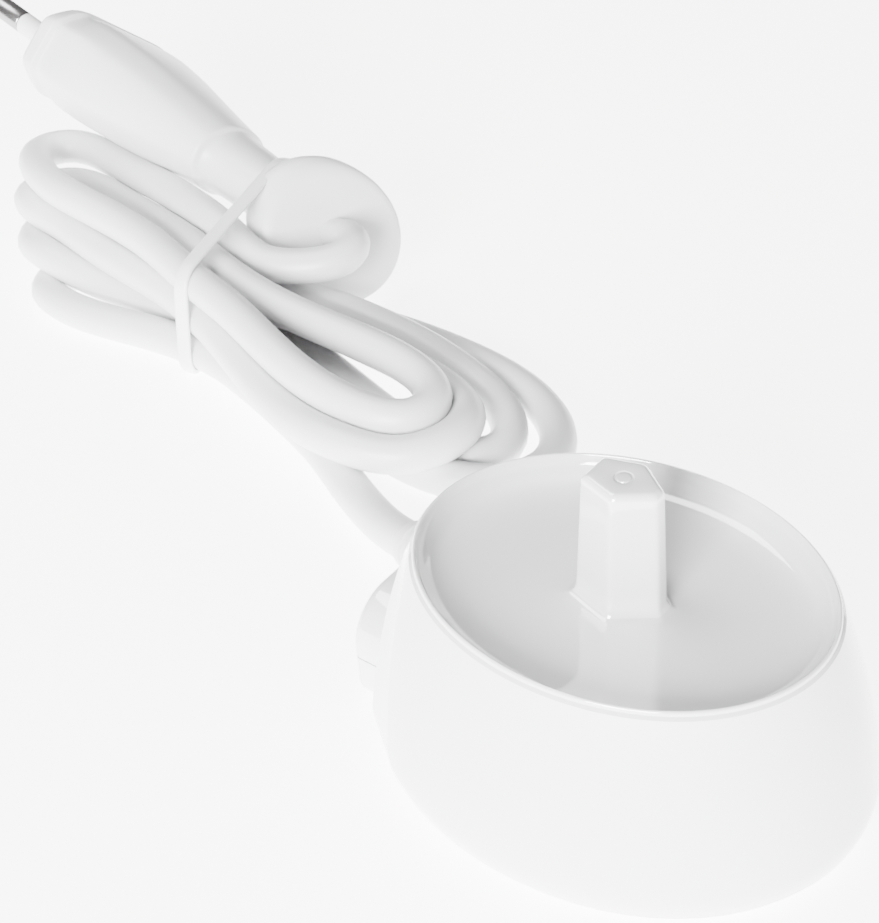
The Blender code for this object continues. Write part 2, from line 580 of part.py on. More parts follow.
def main():
    """Build every piece."""
    clear_scene()
    white = finish("white_gloss", (0.84, 0.84, 0.84), 0.22)
    plate_white = finish("white_satin", (0.78, 0.78, 0.79), 0.4)
    cord_white = finish("cord_white", (0.80, 0.80, 0.80), 0.45)
    tie_white = finish("tie_white", (0.82, 0.82, 0.83), 0.4)
    rubber = finish("grey_rubber", (0.55, 0.55, 0.56), 0.8)
    steel = finish("nickel", (0.42, 0.42, 0.44), 0.3, 1.0)
    black = finish("black_plastic", (0.03, 0.03, 0.035), 0.45)
    ferrite = finish("ferrite", (0.05, 0.05, 0.055), 0.7)
    copper = finish("copper", (0.72, 0.33, 0.16), 0.35, 1.0)
    fibre = finish("board_green", (0.04, 0.22, 0.09), 0.5)
    aluminium = finish("aluminium", (0.70, 0.71, 0.73), 0.35, 1.0)
    yellow = finish("yellow_film", (0.75, 0.58, 0.12), 0.5)
    ceramic = finish("ceramic", (0.45, 0.60, 0.66), 0.5)
    brown = finish("brown_pvc", (0.20, 0.08, 0.03), 0.5)
    blue = finish("blue_pvc", (0.04, 0.12, 0.48), 0.5)
    housing_shell(white)
    base_plate(plate_white)
    feet(rubber)
    base_seal(rubber)
    outlet_half("outlet_hood", OUTLET_SEAM + GAP / 2, OUTLET_TOP, white)
    outlet_half("outlet_tray", OUTLET_BOTTOM, OUTLET_SEAM - GAP / 2, plate_white)
    strain_relief(cord_white)
    lead_and_hank(cord_white)
    cable_tie(tie_white)
    plug_body(white)
    plug_pins(steel, cord_white)
    coil(ferrite, black, copper)
    board(fibre)
    components(yellow, aluminium, black, ceramic, copper, steel)
    wiring(brown, blue, black, steel)


main()
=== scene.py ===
"""Visual model of an inductive toothbrush charging base, its tied mains lead and its flat two-pin plug.

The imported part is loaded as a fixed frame. The visible pieces are rebuilt finely in its place and every
piece and node is given a procedural finish. Sizes in the classes are millimetres.
"""
import json
import logging
import math
from dataclasses import dataclass, field
from enum import Enum
from typing import Iterable, Sequence

import bmesh
import bpy
import numpy as np
from mathutils import Matrix, Vector


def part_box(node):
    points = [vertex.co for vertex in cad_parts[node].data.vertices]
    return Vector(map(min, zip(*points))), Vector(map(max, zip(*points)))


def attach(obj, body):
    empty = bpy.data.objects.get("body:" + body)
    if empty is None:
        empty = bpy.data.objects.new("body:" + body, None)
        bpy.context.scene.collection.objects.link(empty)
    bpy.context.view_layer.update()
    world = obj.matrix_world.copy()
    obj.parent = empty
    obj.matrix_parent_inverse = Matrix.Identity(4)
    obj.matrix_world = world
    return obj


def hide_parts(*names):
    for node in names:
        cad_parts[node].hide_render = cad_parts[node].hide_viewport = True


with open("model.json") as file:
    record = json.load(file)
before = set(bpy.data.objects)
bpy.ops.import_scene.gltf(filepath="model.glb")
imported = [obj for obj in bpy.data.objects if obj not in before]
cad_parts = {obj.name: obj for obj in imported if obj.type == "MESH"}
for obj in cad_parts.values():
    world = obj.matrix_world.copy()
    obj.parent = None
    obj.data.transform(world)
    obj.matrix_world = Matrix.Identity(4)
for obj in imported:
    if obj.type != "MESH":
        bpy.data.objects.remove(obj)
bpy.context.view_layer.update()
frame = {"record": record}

LOG = logging.getLogger("charger")
MM = 0.001
Ring = list[Vector]


# ------------------------------------------------------------------------------------ finishes --
class Grain(Enum):
    """Surface character that a finish adds to its colour."""

    MOULDED = "moulded"
    JACKET = "jacket"
    BRUSHED = "brushed"
    WOUND = "wound"
    TRACES = "traces"
    CAST = "cast"


@dataclass(frozen=True)
class Finish:
    """One procedural finish: colour with slight variation, roughness with variation, and fine relief."""

    name: str
    colour: tuple[float, float, float]
    roughness: float
    grain: Grain = Grain.MOULDED
    metallic: float = 0.0
    coat: float = 0.0
    variation: float = 0.02
    relief: float = 0.03
    scale: float = 900.0
    glow: float = 0.0
    coat_ior: float = 1.5

    def material(self) -> bpy.types.Material:
        """Build the material once and return it afterwards.

        Returns:
            The node-based material of this finish.
        """
        known = bpy.data.materials.get(self.name)
        if known is not None:
            return known
        mat = bpy.data.materials.new(self.name)
        mat.use_nodes = True
        nodes, links = mat.node_tree.nodes, mat.node_tree.links
        shader = nodes["Principled BSDF"]
        shader.inputs["Metallic"].default_value = self.metallic
        shader.inputs["Coat Weight"].default_value = self.coat
        shader.inputs["Coat Roughness"].default_value = 0.05
        shader.inputs["Coat IOR"].default_value = self.coat_ior
        shader.inputs["Emission Color"].default_value = (1.0, 1.0, 1.0, 1.0)
        shader.inputs["Emission Strength"].default_value = self.glow
        place = nodes.new("ShaderNodeTexCoord")
        mapping = nodes.new("ShaderNodeMapping")
        mapping.inputs["Scale"].default_value = (1.0, 1.0, 9.0) if self.grain is Grain.BRUSHED else (1.0, 1.0, 1.0)
        links.new(place.outputs["Object"], mapping.inputs["Vector"])
        cloud = self._noise(nodes, links, mapping, 45.0, 3.0)
        fine = self._noise(nodes, links, mapping, self.scale, 4.0)
        self._colour(nodes, links, shader, cloud, mapping)
        gloss = nodes.new("ShaderNodeMapRange")
        gloss.inputs["To Min"].default_value = max(0.03, self.roughness * 0.86)
        gloss.inputs["To Max"].default_value = min(1.0, self.roughness * 1.14)
        links.new(cloud.outputs["Fac"], gloss.inputs["Value"])
        links.new(gloss.outputs["Result"], shader.inputs["Roughness"])
        bump = nodes.new("ShaderNodeBump")
        bump.inputs["Strength"].default_value = self.relief
        bump.inputs["Distance"].default_value = 0.0002
        links.new(fine.outputs["Fac"], bump.inputs["Height"])
        links.new(bump.outputs["Normal"], shader.inputs["Normal"])
        return mat

    @staticmethod
    def _noise(nodes: bpy.types.Nodes, links: bpy.types.NodeLinks, mapping: bpy.types.Node, scale: float,
               detail: float) -> bpy.types.Node:
        """A noise texture on object coordinates.

        Args:
            nodes: node list of the tree.
            links: link list of the tree.
            mapping: the mapping node it reads.
            scale: noise scale per metre.
            detail: octaves.

        Returns:
            The noise node.
        """
        noise = nodes.new("ShaderNodeTexNoise")
        noise.inputs["Scale"].default_value = scale
        noise.inputs["Detail"].default_value = detail
        links.new(mapping.outputs["Vector"], noise.inputs["Vector"])
        return noise

    def _colour(self, nodes: bpy.types.Nodes, links: bpy.types.NodeLinks, shader: bpy.types.Node,
                cloud: bpy.types.Node, mapping: bpy.types.Node) -> None:
        """Link the colour: two close shades mixed by the grain's own pattern.

        Args:
            nodes: node list of the tree.
            links: link list of the tree.
            shader: the Principled node.
            cloud: large noise that mixes the shades.
            mapping: the mapping node.
        """
        ramp = nodes.new("ShaderNodeValToRGB")
        dark = [max(0.0, c * (1 - self.variation)) for c in self.colour]
        light = [min(1.0, c * (1 + self.variation)) for c in self.colour]
        ramp.color_ramp.elements[0].position, ramp.color_ramp.elements[1].position = 0.3, 0.7
        ramp.color_ramp.elements[0].color = (*dark, 1.0)
        ramp.color_ramp.elements[1].color = (*light, 1.0)
        source = cloud.outputs["Fac"]
        if self.grain is Grain.TRACES:
            cells = nodes.new("ShaderNodeTexBrick")
            cells.inputs["Scale"].default_value = 160.0
            cells.inputs["Color1"].default_value = (0.35, 0.35, 0.35, 1.0)
            cells.inputs["Color2"].default_value = (0.6, 0.6, 0.6, 1.0)
            cells.inputs["Mortar"].default_value = (1.0, 1.0, 1.0, 1.0)
            links.new(mapping.outputs["Vector"], cells.inputs["Vector"])
            source = cells.outputs["Color"]
        elif self.grain is Grain.WOUND:
            bands = nodes.new("ShaderNodeTexWave")
            bands.bands_direction = "Z"
            bands.inputs["Scale"].default_value = 520.0
            links.new(mapping.outputs["Vector"], bands.inputs["Vector"])
            source = bands.outputs["Fac"]
        links.new(source, ramp.inputs["Fac"])
        links.new(ramp.outputs["Color"], shader.inputs["Base Color"])


SHELL_GLOSS = Finish("shell_gloss", (0.74, 0.74, 0.745), 0.1, coat=1.0, coat_ior=1.8, relief=0.012, scale=500.0,
                     variation=0.008)
PLATE_SATIN = Finish("plate_satin", (0.70, 0.70, 0.71), 0.42, relief=0.06, scale=2500.0)
PLUG_SOFT = Finish("plug_soft", (0.73, 0.73, 0.735), 0.34, relief=0.03, scale=1500.0, variation=0.01)
CORD_JACKET = Finish("cord_jacket", (0.71, 0.71, 0.715), 0.36, Grain.JACKET, relief=0.05, scale=1800.0, variation=0.012)
TIE_PLASTIC = Finish("tie_plastic", (0.82, 0.82, 0.83), 0.32, relief=0.03, scale=1800.0)
SLEEVE_PLASTIC = Finish("sleeve_plastic", (0.70, 0.70, 0.71), 0.38, relief=0.03)
PIN_NICKEL = Finish("pin_nickel", (0.34, 0.33, 0.33), 0.28, Grain.BRUSHED, metallic=1.0, relief=0.05, variation=0.08)
PAD_RUBBER = Finish("pad_rubber", (0.50, 0.50, 0.51), 0.78, Grain.CAST, relief=0.25, scale=3500.0, variation=0.05)
SEAL_RUBBER = Finish("seal_rubber", (0.42, 0.42, 0.43), 0.7, Grain.CAST, relief=0.2, scale=3000.0, variation=0.05)
FERRITE_DARK = Finish("ferrite_dark", (0.05, 0.05, 0.055), 0.62, Grain.CAST, relief=0.4, scale=4000.0, variation=0.2)
BOBBIN_BLACK = Finish("bobbin_black", (0.03, 0.03, 0.035), 0.45, relief=0.1, variation=0.1)
WINDING_COPPER = Finish("winding_copper_wire", (0.62, 0.26, 0.12), 0.28, Grain.BRUSHED, metallic=1.0, coat=0.5,
                        variation=0.12)
INDUCTOR_COPPER = Finish("inductor_copper", (0.60, 0.25, 0.11), 0.3, Grain.WOUND, metallic=1.0, variation=0.35)
BOARD_LAMINATE = Finish("board_laminate", (0.03, 0.20, 0.08), 0.4, Grain.TRACES, coat=0.3, variation=0.4)
CAN_ALUMINIUM = Finish("can_aluminium", (0.70, 0.71, 0.73), 0.3, Grain.BRUSHED, metallic=1.0, variation=0.06)
FILM_YELLOW = Finish("film_yellow", (0.72, 0.55, 0.10), 0.42, relief=0.08, variation=0.05)
EPOXY_BLACK = Finish("epoxy_black", (0.028, 0.028, 0.03), 0.5, Grain.CAST, relief=0.2, scale=3500.0, variation=0.15)
RESISTOR_COAT = Finish("resistor_coat", (0.36, 0.52, 0.58), 0.5, Grain.CAST, relief=0.15, variation=0.05)
TERMINAL_PLATED = Finish("terminal_plated", (0.46, 0.45, 0.44), 0.33, Grain.BRUSHED, metallic=1.0, variation=0.08)
CORE_BROWN = Finish("core_brown", (0.16, 0.06, 0.025), 0.42, Grain.JACKET, relief=0.06, variation=0.06)
CORE_BLUE = Finish("core_blue", (0.03, 0.10, 0.44), 0.42, Grain.JACKET, relief=0.06, variation=0.06)
FLOOR_PAPER = Finish("floor_paper", (0.93, 0.93, 0.93), 0.9, Grain.CAST, relief=0.02, scale=300.0, variation=0.004,
                     glow=5.2)

NODE_FINISHES = {
    "base_plate": PLATE_SATIN, "foot_front": PAD_RUBBER, "foot_left": PAD_RUBBER, "foot_right": PAD_RUBBER,
    "foot_rear": PAD_RUBBER, "base_seal": SEAL_RUBBER, "ferrite_core": FERRITE_DARK, "coil_bobbin": BOBBIN_BLACK,
    "circuit_board": BOARD_LAMINATE, "filter_capacitor": CAN_ALUMINIUM, "film_capacitor": FILM_YELLOW,
    "bridge_rectifier": EPOXY_BLACK, "switching_transistor": EPOXY_BLACK, "fusible_resistor": RESISTOR_COAT,
    "filter_inductor": INDUCTOR_COPPER, "terminal_left": TERMINAL_PLATED, "terminal_right": TERMINAL_PLATED,
    "wire_brown": CORE_BROWN, "wire_blue": CORE_BLUE, "cord_clamp": BOBBIN_BLACK,
    "clamp_screw_left": TERMINAL_PLATED, "clamp_screw_right": TERMINAL_PLATED,
}


# --------------------------------------------------------------------------------- mesh making --
def mount_place(name: str) -> tuple[Vector, Vector]:
    """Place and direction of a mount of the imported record.

    Args:
        name: the mount's name.

    Returns:
        Its point in millimetres and its unit axis.
    """
    mount = next(m for m in frame["record"]["mounts"] if m["name"] == name)
    return Vector(mount["pos_m"]) / MM, Vector(mount["axis"]).normalized()


def new_piece(name: str, verts: Iterable[Sequence[float]], faces: Iterable[Sequence[int]], finish: Finish,
              sharp_deg: float = 35.0, flip_check: bool = True) -> bpy.types.Object:
    """Make a mesh piece from millimetre vertices.

    Args:
        name: piece name.
        verts: vertices in millimetres.
        faces: vertex indices of each face.
        finish: its finish.
        sharp_deg: edges above this angle stay sharp.
        flip_check: recalculate the normals outwards.

    Returns:
        The linked object at the origin.
    """
    mesh = bpy.data.meshes.new(name)
    mesh.from_pydata([tuple(Vector(v) * MM) for v in verts], [], [tuple(f) for f in faces])
    if flip_check:
        bm = bmesh.new()
        bm.from_mesh(mesh)
        bmesh.ops.recalc_face_normals(bm, faces=bm.faces)
        bm.to_mesh(mesh)
        bm.free()
    mesh.shade_smooth()
    mesh.set_sharp_from_angle(angle=math.radians(sharp_deg))
    mesh.materials.append(finish.material())
    obj = bpy.data.objects.new(name, mesh)
    bpy.context.collection.objects.link(obj)
    return obj


def loft(name: str, rings: Sequence[Ring], finish: Finish, sharp_deg: float = 35.0,
         closed: bool = False) -> bpy.types.Object:
    """Skin consecutive rings of equal count.

    Args:
        name: piece name.
        rings: rings in millimetres.
        finish: its finish.
        sharp_deg: edges above this angle stay sharp.
        closed: join the last ring to the first instead of capping both ends.

    Returns:
        The piece.
    """
    count, levels = len(rings[0]), len(rings)
    verts = [v for ring in rings for v in ring]
    faces: list[tuple[int, ...]] = []
    for level in range(levels if closed else levels - 1):
        low, high = level * count, ((level + 1) % levels) * count
        faces += [(low + k, low + (k + 1) % count, high + (k + 1) % count, high + k) for k in range(count)]
    if not closed:
        for ring, start in ((rings[0], 0), (rings[-1], (levels - 1) * count)):
            verts.append(sum(ring, Vector()) / count)
            tip = len(verts) - 1
            faces += [(start + k, start + (k + 1) % count, tip) for k in range(count)]
    return new_piece(name, verts, faces, finish, sharp_deg)


def ring_about(centre: Vector, radius: float, sides: int, along: Vector) -> Ring:
    """A circle of points about an axis.

    Args:
        centre: its centre.
        radius: its radius.
        sides: number of points.
        along: its axis.

    Returns:
        The points.
    """
    side = along.orthogonal().normalized()
    other = along.cross(side).normalized()
    turns = [2 * math.pi * k / sides for k in range(sides)]
    return [centre + side * (math.cos(a) * radius) + other * (math.sin(a) * radius) for a in turns]


def blend_rings(first: Ring, second: Ring, share: float) -> Ring:
    """The ring a share of the way from first to second."""
    return [a.lerp(b, share) for a, b in zip(first, second)]


def spread(stations: Sequence[Sequence[float]], column: int, levels: int) -> list[list[float]]:
    """Smooth values between stations without overshoot.

    Args:
        stations: rows of values, sorted by one column.
        column: that column.
        levels: number of rows wanted between each pair of stations.

    Returns:
        The rows, the given ones included.
    """
    table = np.array(stations, float)
    x = table[:, column]
    slopes = np.diff(table, axis=0) / np.diff(x)[:, None]
    tangents = np.zeros_like(table)
    tangents[0], tangents[-1] = slopes[0], slopes[-1]
    same = slopes[:-1] * slopes[1:] > 0
    mean = 2 * slopes[:-1] * slopes[1:] / np.where(same, slopes[:-1] + slopes[1:], 1.0)
    tangents[1:-1] = np.where(same, mean, 0.0)
    rows: list[list[float]] = []
    for k in range(len(x) - 1):
        step = x[k + 1] - x[k]
        for t in np.linspace(0, 1, levels, endpoint=False):
            value = (table[k] * (2 * t ** 3 - 3 * t ** 2 + 1) + tangents[k] * step * (t ** 3 - 2 * t ** 2 + t)
                     + table[k + 1] * (3 * t ** 2 - 2 * t ** 3) + tangents[k + 1] * step * (t ** 3 - t ** 2))
            rows.append(value.tolist())
    rows.append(table[-1].tolist())
    return rows


def settle(obj: bpy.types.Object, *nodes: str) -> bpy.types.Object:
    """Ride a piece on the part's one body, in place of the nodes it stands for.

    Args:
        obj: the piece.
        nodes: CAD nodes that it replaces.

    Returns:
        The same piece.
    """
    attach(obj, "root")
    if nodes:
        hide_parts(*nodes)
    LOG.info("piece %s in place of %s", obj.name, ", ".join(nodes) or "nothing")
    return obj


# ---------------------------------------------------------------------------- geometry nodes --
class NodeMaker:
    """A geometry node tree with named inputs, baked to a plain mesh."""

    def __init__(self, name: str, sizes: dict[str, float]) -> None:
        """Start the tree.

        Args:
            name: name of the tree.
            sizes: named inputs and their values.
        """
        self.tree = bpy.data.node_groups.new(name, "GeometryNodeTree")
        self.tree.interface.new_socket("Geometry", in_out="INPUT", socket_type="NodeSocketGeometry")
        self.keys: dict[str, str] = {}
        self.sizes = sizes
        for label, value in sizes.items():
            kind = "NodeSocketInt" if isinstance(value, int) else "NodeSocketFloat"
            self.keys[label] = self.tree.interface.new_socket(label, in_out="INPUT", socket_type=kind).identifier
        self.tree.interface.new_socket("Geometry", in_out="OUTPUT", socket_type="NodeSocketGeometry")
        self.entry = self.tree.nodes.new("NodeGroupInput")

    def add(self, kind: str, **values: object) -> bpy.types.Node:
        """Add a node and set its inputs, by value or by link.

        Args:
            kind: node type.
            values: input name, with underscores for blanks, to a value or an output socket.

        Returns:
            The node.
        """
        node = self.tree.nodes.new(kind)
        for label, value in values.items():
            socket = node.inputs[label.replace("_", " ")]
            if isinstance(value, bpy.types.NodeSocket):
                self.tree.links.new(value, socket)
            else:
                socket.default_value = value
        return node

    def size(self, label: str) -> bpy.types.NodeSocket:
        """Output socket of a named input."""
        return self.entry.outputs[label]

    def bake(self, name: str, result: bpy.types.NodeSocket, finish: Finish) -> bpy.types.Object:
        """Evaluate the tree on an empty mesh and keep its result.

        Args:
            name: piece name.
            result: geometry that the tree makes.
            finish: its finish.

        Returns:
            A plain mesh piece without modifiers.
        """
        realize = self.add("GeometryNodeRealizeInstances", Geometry=result)
        dress = self.add("GeometryNodeSetMaterial", Geometry=realize.outputs[0], Material=finish.material())
        leave = self.tree.nodes.new("NodeGroupOutput")
        self.tree.links.new(dress.outputs[0], leave.inputs[0])
        host = bpy.data.objects.new(name + "_host", bpy.data.meshes.new(name + "_host"))
        bpy.context.collection.objects.link(host)
        mod = host.modifiers.new("maker", "NODES")
        mod.node_group = self.tree
        for label, key in self.keys.items():
            mod[key] = self.sizes[label]
        bpy.context.view_layer.update()
        depsgraph = bpy.context.evaluated_depsgraph_get()
        mesh = bpy.data.meshes.new_from_object(host.evaluated_get(depsgraph))
        bpy.data.objects.remove(host, do_unlink=True)
        mesh.name = name
        mesh.shade_smooth()
        mesh.set_sharp_from_angle(angle=math.radians(40))
        obj = bpy.data.objects.new(name, mesh)
        bpy.context.collection.objects.link(obj)
        return obj


# -------------------------------------------------------------------------------------- studio --
@dataclass
class Studio:
    """Camera, floor and soft lights. Places in millimetres, angles in degrees."""

    target: Vector = field(default_factory=lambda: Vector((44.6, 38.9, 0.0)))
    azimuth: float = 55.1
    elevation: float = 38.1
    distance: float = 274.0
    roll: float = -0.78
    lens: float = 69.23
    floor_half: float = 6000.0
    surround: float = 0.35
    lit_place: tuple[float, float, float] = (30.0, 40.0, 0.0)
    lamps: tuple[tuple[str, tuple[float, float, float], float, float], ...] = (
        ("key", (-720, -180, 300), 380, 33.0), ("front", (-200, -700, 200), 400, 1.2),
        ("top", (-60, 420, 800), 400, 7.5))
    shift: tuple[float, float] = (-0.1381, 0.0049)

    def build(self) -> None:
        """Make the camera, the floor and the lights."""
        self.camera()
        self.floor()
        self.lights()

    def camera(self) -> None:
        """Aim the camera from the front left, high up."""
        az, el, roll = (math.radians(v) for v in (self.azimuth, self.elevation, self.roll))
        back = Vector((-math.sin(az) * math.cos(el), -math.cos(az) * math.cos(el), math.sin(el)))
        right = Vector((0, 0, 1)).cross(back).normalized()
        up = back.cross(right)
        side = right * math.cos(roll) + up * math.sin(roll)
        rise = back.cross(side)
        data = bpy.data.cameras.new("camera")
        data.sensor_width, data.sensor_fit, data.lens = 36.0, "AUTO", self.lens
        data.shift_x, data.shift_y = self.shift
        data.clip_start, data.clip_end = 0.01, 20.0
        cam = bpy.data.objects.new("camera", data)
        cam.matrix_world = Matrix.Translation((self.target + back * self.distance) * MM) @ Matrix(
            (side, rise, back)).transposed().to_4x4()
        bpy.context.collection.objects.link(cam)
        bpy.context.scene.camera = cam

    def floor(self) -> None:
        """A wide pale floor."""
        half = self.floor_half
        corners = [(-half, -half, -0.02), (half, -half, -0.02), (half, half, -0.02), (-half, half, -0.02)]
        new_piece("floor", corners, [(0, 1, 2, 3)], FLOOR_PAPER, flip_check=False)

    def lights(self) -> None:
        """A weak white surround, a large key light on the viewer's side, a front light and a weaker overhead one."""
        world = bpy.data.worlds.new("surround")
        world.use_nodes = True
        ground = world.node_tree.nodes["Background"]
        ground.inputs["Color"].default_value = (1.0, 1.0, 1.0, 1.0)
        ground.inputs["Strength"].default_value = self.surround
        bpy.context.scene.world = world
        for name, place, size, power in self.lamps:
            data = bpy.data.lights.new(name, "AREA")
            data.shape, data.size, data.energy = "SQUARE", size * MM, power
            lamp = bpy.data.objects.new(name, data)
            aim = (Vector(self.lit_place) - Vector(place)).normalized()
            turn = aim.to_track_quat("-Z", "Y").to_matrix().to_4x4()
            lamp.matrix_world = Matrix.Translation(Vector(place) * MM) @ turn
            bpy.context.collection.objects.link(lamp)


# ------------------------------------------------------------------------------------- charger --
@dataclass
class Charger:
    """The one-piece glossy shell: flared oval wall with a rear facet, thin rim, dish and keyed post."""

    rim_length: float = 27.0
    rim_width: float = 21.1
    rim_height: float = 30.3
    flare_length: float = 7.2
    flare_width: float = 6.7
    flare_power: float = 1.77
    tuck: float = 2.7
    tuck_height: float = 7.0
    rear_flat: float = 26.6
    crease_foot: float = 33.0
    crease_rise: float = 22.0
    fade_from: float = 24.0
    bottom: float = 2.9
    wall: float = 2.0
    dish_floor: float = 26.6
    sides: int = 264
    post_top: float = 44.4
    post_foot: float = 27.9
    post_rise: float = 15.4
    crown_rise: float = 1.1
    post_corners: tuple[tuple[float, float], ...] = ((2.35, 4.45), (3.95, -0.75), (0.85, -5.1))
    post_taper: float = 1.1
    corner_softness: float = 0.16

    def halves(self, z: float) -> tuple[float, float]:
        """Half length and half width of the wall at a height."""
        rise = 1 - (z / self.rim_height) ** self.flare_power
        tuck = self.tuck * max(0.0, 1 - z / self.tuck_height) ** 2
        return self.rim_length + self.flare_length * rise - tuck, self.rim_width + self.flare_width * rise - tuck

    def ring(self, z: float, inset: float = 0.0, level: float | None = None) -> Ring:
        """Outline of the wall at height z.

        Args:
            z: height whose outline is taken.
            inset: how far inside the wall.
            level: height at which it is drawn, z when None.

        Returns:
            The ring.
        """
        half_y, half_x = (half - inset for half in self.halves(z))
        flat = self.rear_flat - inset
        crease = math.radians(self.crease_foot + self.crease_rise * (z / self.rim_height) ** 1.5)
        corner = half_x * math.cos(math.asin(min(flat / half_y, 0.985)))
        height = z if level is None else level
        sweep = math.pi + 2 * crease
        points = []
        for k in range(self.sides + 1):
            t = crease - sweep * k / self.sides
            points.append(Vector((half_x * math.cos(t), half_y * math.sin(t), height)))
        first, last = points[0], points[-1]
        left, right = Vector((-corner, flat, height)), Vector((corner, flat, height))
        points += [last.lerp(left, k / 12) for k in range(1, 12)]
        points += [left.lerp(right, k / 24) for k in range(25)]
        points += [right.lerp(first, k / 12) for k in range(1, 12)]
        share = min(1.0, max(0.0, (z - self.fade_from) / (self.rim_height - 0.8 - self.fade_from)))
        share = share * share * (3 - 2 * share)
        return [self.rounded(p, half_x, half_y, share) for p in points]

    @staticmethod
    def rounded(place: Vector, half_x: float, half_y: float, share: float) -> Vector:
        """Move a point of the facet out towards the full oval.

        Args:
            place: the point.
            half_x: half width of the oval.
            half_y: half length of the oval.
            share: 0 leaves it, 1 puts it on the oval.

        Returns:
            The moved point.
        """
        level = math.hypot(place.x / half_x, place.y / half_y)
        scale = 1 + (1 / level - 1) * share
        return Vector((place.x * scale, place.y * scale, place.z))

    def post_reach(self, angle: float, grow: float, scale: float) -> float:
        """Distance from the post's axis to its soft-cornered keyed section.

        Args:
            angle: polar angle.
            grow: offset outwards.
            scale: taper of the section.

        Returns:
            The distance.
        """
        right = [Vector((x * scale, y * scale)) for x, y in self.post_corners]
        corners = right + [Vector((-p.x, p.y)) for p in reversed(right)]
        ray = Vector((math.cos(angle), math.sin(angle)))
        edges = []
        for a, b in zip(corners, corners[1:] + corners[:1]):
            normal = Vector((a.y - b.y, b.x - a.x)).normalized()
            if normal.dot(a) < 0:
                normal = -normal
            edges.append((normal.dot(ray), normal.dot(a) + grow))
        low, high = 0.0, 12.0
        for _ in range(26):
            middle = (low + high) / 2
            total = sum(math.exp(min(60.0, (n * middle - h) / self.corner_softness)) for n, h in edges)
            low, high = (middle, high) if math.log(max(total, 1e-30)) < 0 else (low, middle)
        return low

    def post_ring(self, z: float, scale: float, grow: float = 0.0) -> Ring:
        """The post's section at a height, its points in the same directions as the wall's."""
        points = []
        for p in self.ring(self.rim_height):
            angle = math.atan2(p.y, p.x)
            reach = self.post_reach(angle, grow, scale)
            points.append(Vector((reach * math.cos(angle), reach * math.sin(angle), z)))
        return points

    def circle(self, radius: float, z: float) -> Ring:
        """A circle about the post's axis in the same directions as the wall's points."""
        return [Vector((p.x, p.y, 0)).normalized() * radius + Vector((0, 0, z)) for p in self.ring(self.rim_height)]

    def outer_rings(self) -> list[Ring]:
        """Rings of the wall, from its lower edge to below the rim."""
        heights = [self.bottom, self.bottom + 0.25] + [3.4 + 26.0 * k / 40 for k in range(41)]
        rings = [self.ring(self.bottom, 0.35, self.bottom)]
        return rings + [self.ring(z) for z in heights[1:]]

    def rim_rings(self) -> list[Ring]:
        """Rings over the thin rounded rim and down into the dish."""
        stations = ((0.02, 29.75), (0.08, 30.05), (0.2, 30.24), (0.36, 30.3), (0.5, 30.22), (0.6, 30.0), (0.68, 29.7),
                    (0.95, 29.0), (1.75, 28.2), (2.5, 27.5), (3.4, 27.1), (4.8, 26.82), (6.2, 26.68),
                    (8.5, self.dish_floor))
        rows = spread(stations, 0, 3)
        return [self.ring(self.rim_height, inset, z) for inset, z in rows]

    def post_rings(self) -> list[Ring]:
        """Rings up the post, over its rounded top edge to the small moulded ring in the middle."""
        rings = [self.post_ring(z, self.post_taper, grow) for grow, z in
                 ((1.25, self.dish_floor), (0.85, 26.68), (0.5, 26.9), (0.25, 27.3), (0.1, 27.9))]
        for k in range(1, 9):
            share = k / 8
            taper = self.post_taper + (1 - self.post_taper) * share
            rings.append(self.post_ring(self.post_foot + self.post_rise * share, taper, 0.1 * (1 - share)))
        for k in range(1, 7):
            t = math.radians(15 * k)
            level = self.post_foot + self.post_rise + self.crown_rise * math.sin(t)
            rings.append(self.post_ring(level, 1.0, -0.95 * (1 - math.cos(t))))
        groove = ((1.35, 0.0), (1.22, -0.02), (1.12, -0.14), (1.0, -0.16), (0.9, -0.14), (0.82, -0.02), (0.7, 0.0))
        for radius, z in groove:
            rings.append(self.circle(radius, self.post_top + z))
        return rings

    def inner_rings(self) -> list[Ring]:
        """Rings of the hollow side, from the post's bore down the inside of the wall."""
        ceiling = self.dish_floor - self.wall
        low = self.post_ring(ceiling, self.post_taper * 0.62)
        edge = self.ring(self.fade_from, self.wall + 2.5, ceiling)
        rings = [self.post_ring(42.6, 0.62), low, blend_rings(low, edge, 0.5), edge, self.ring(23.2, self.wall)]
        rings += [self.ring(z, self.wall) for z in (20.0, 17.0, 14.0, 11.0, 8.0, 5.5, 4.0)]
        return rings + [self.ring(self.bottom, self.wall, self.bottom)]

    def build(self) -> None:
        """Make the shell and cut its cord entry."""
        floor_edge = self.ring(self.rim_height, 8.5, self.dish_floor)
        post = self.post_rings()
        dish = [blend_rings(floor_edge, post[0], share) for share in (0.25, 0.5, 0.75)]
        rings = self.inner_rings() + self.outer_rings() + self.rim_rings() + dish + post
        shell = loft("charger_shell", rings, SHELL_GLOSS, 24.0)
        Outlet().bore(shell)
        settle(shell, "housing_shell")


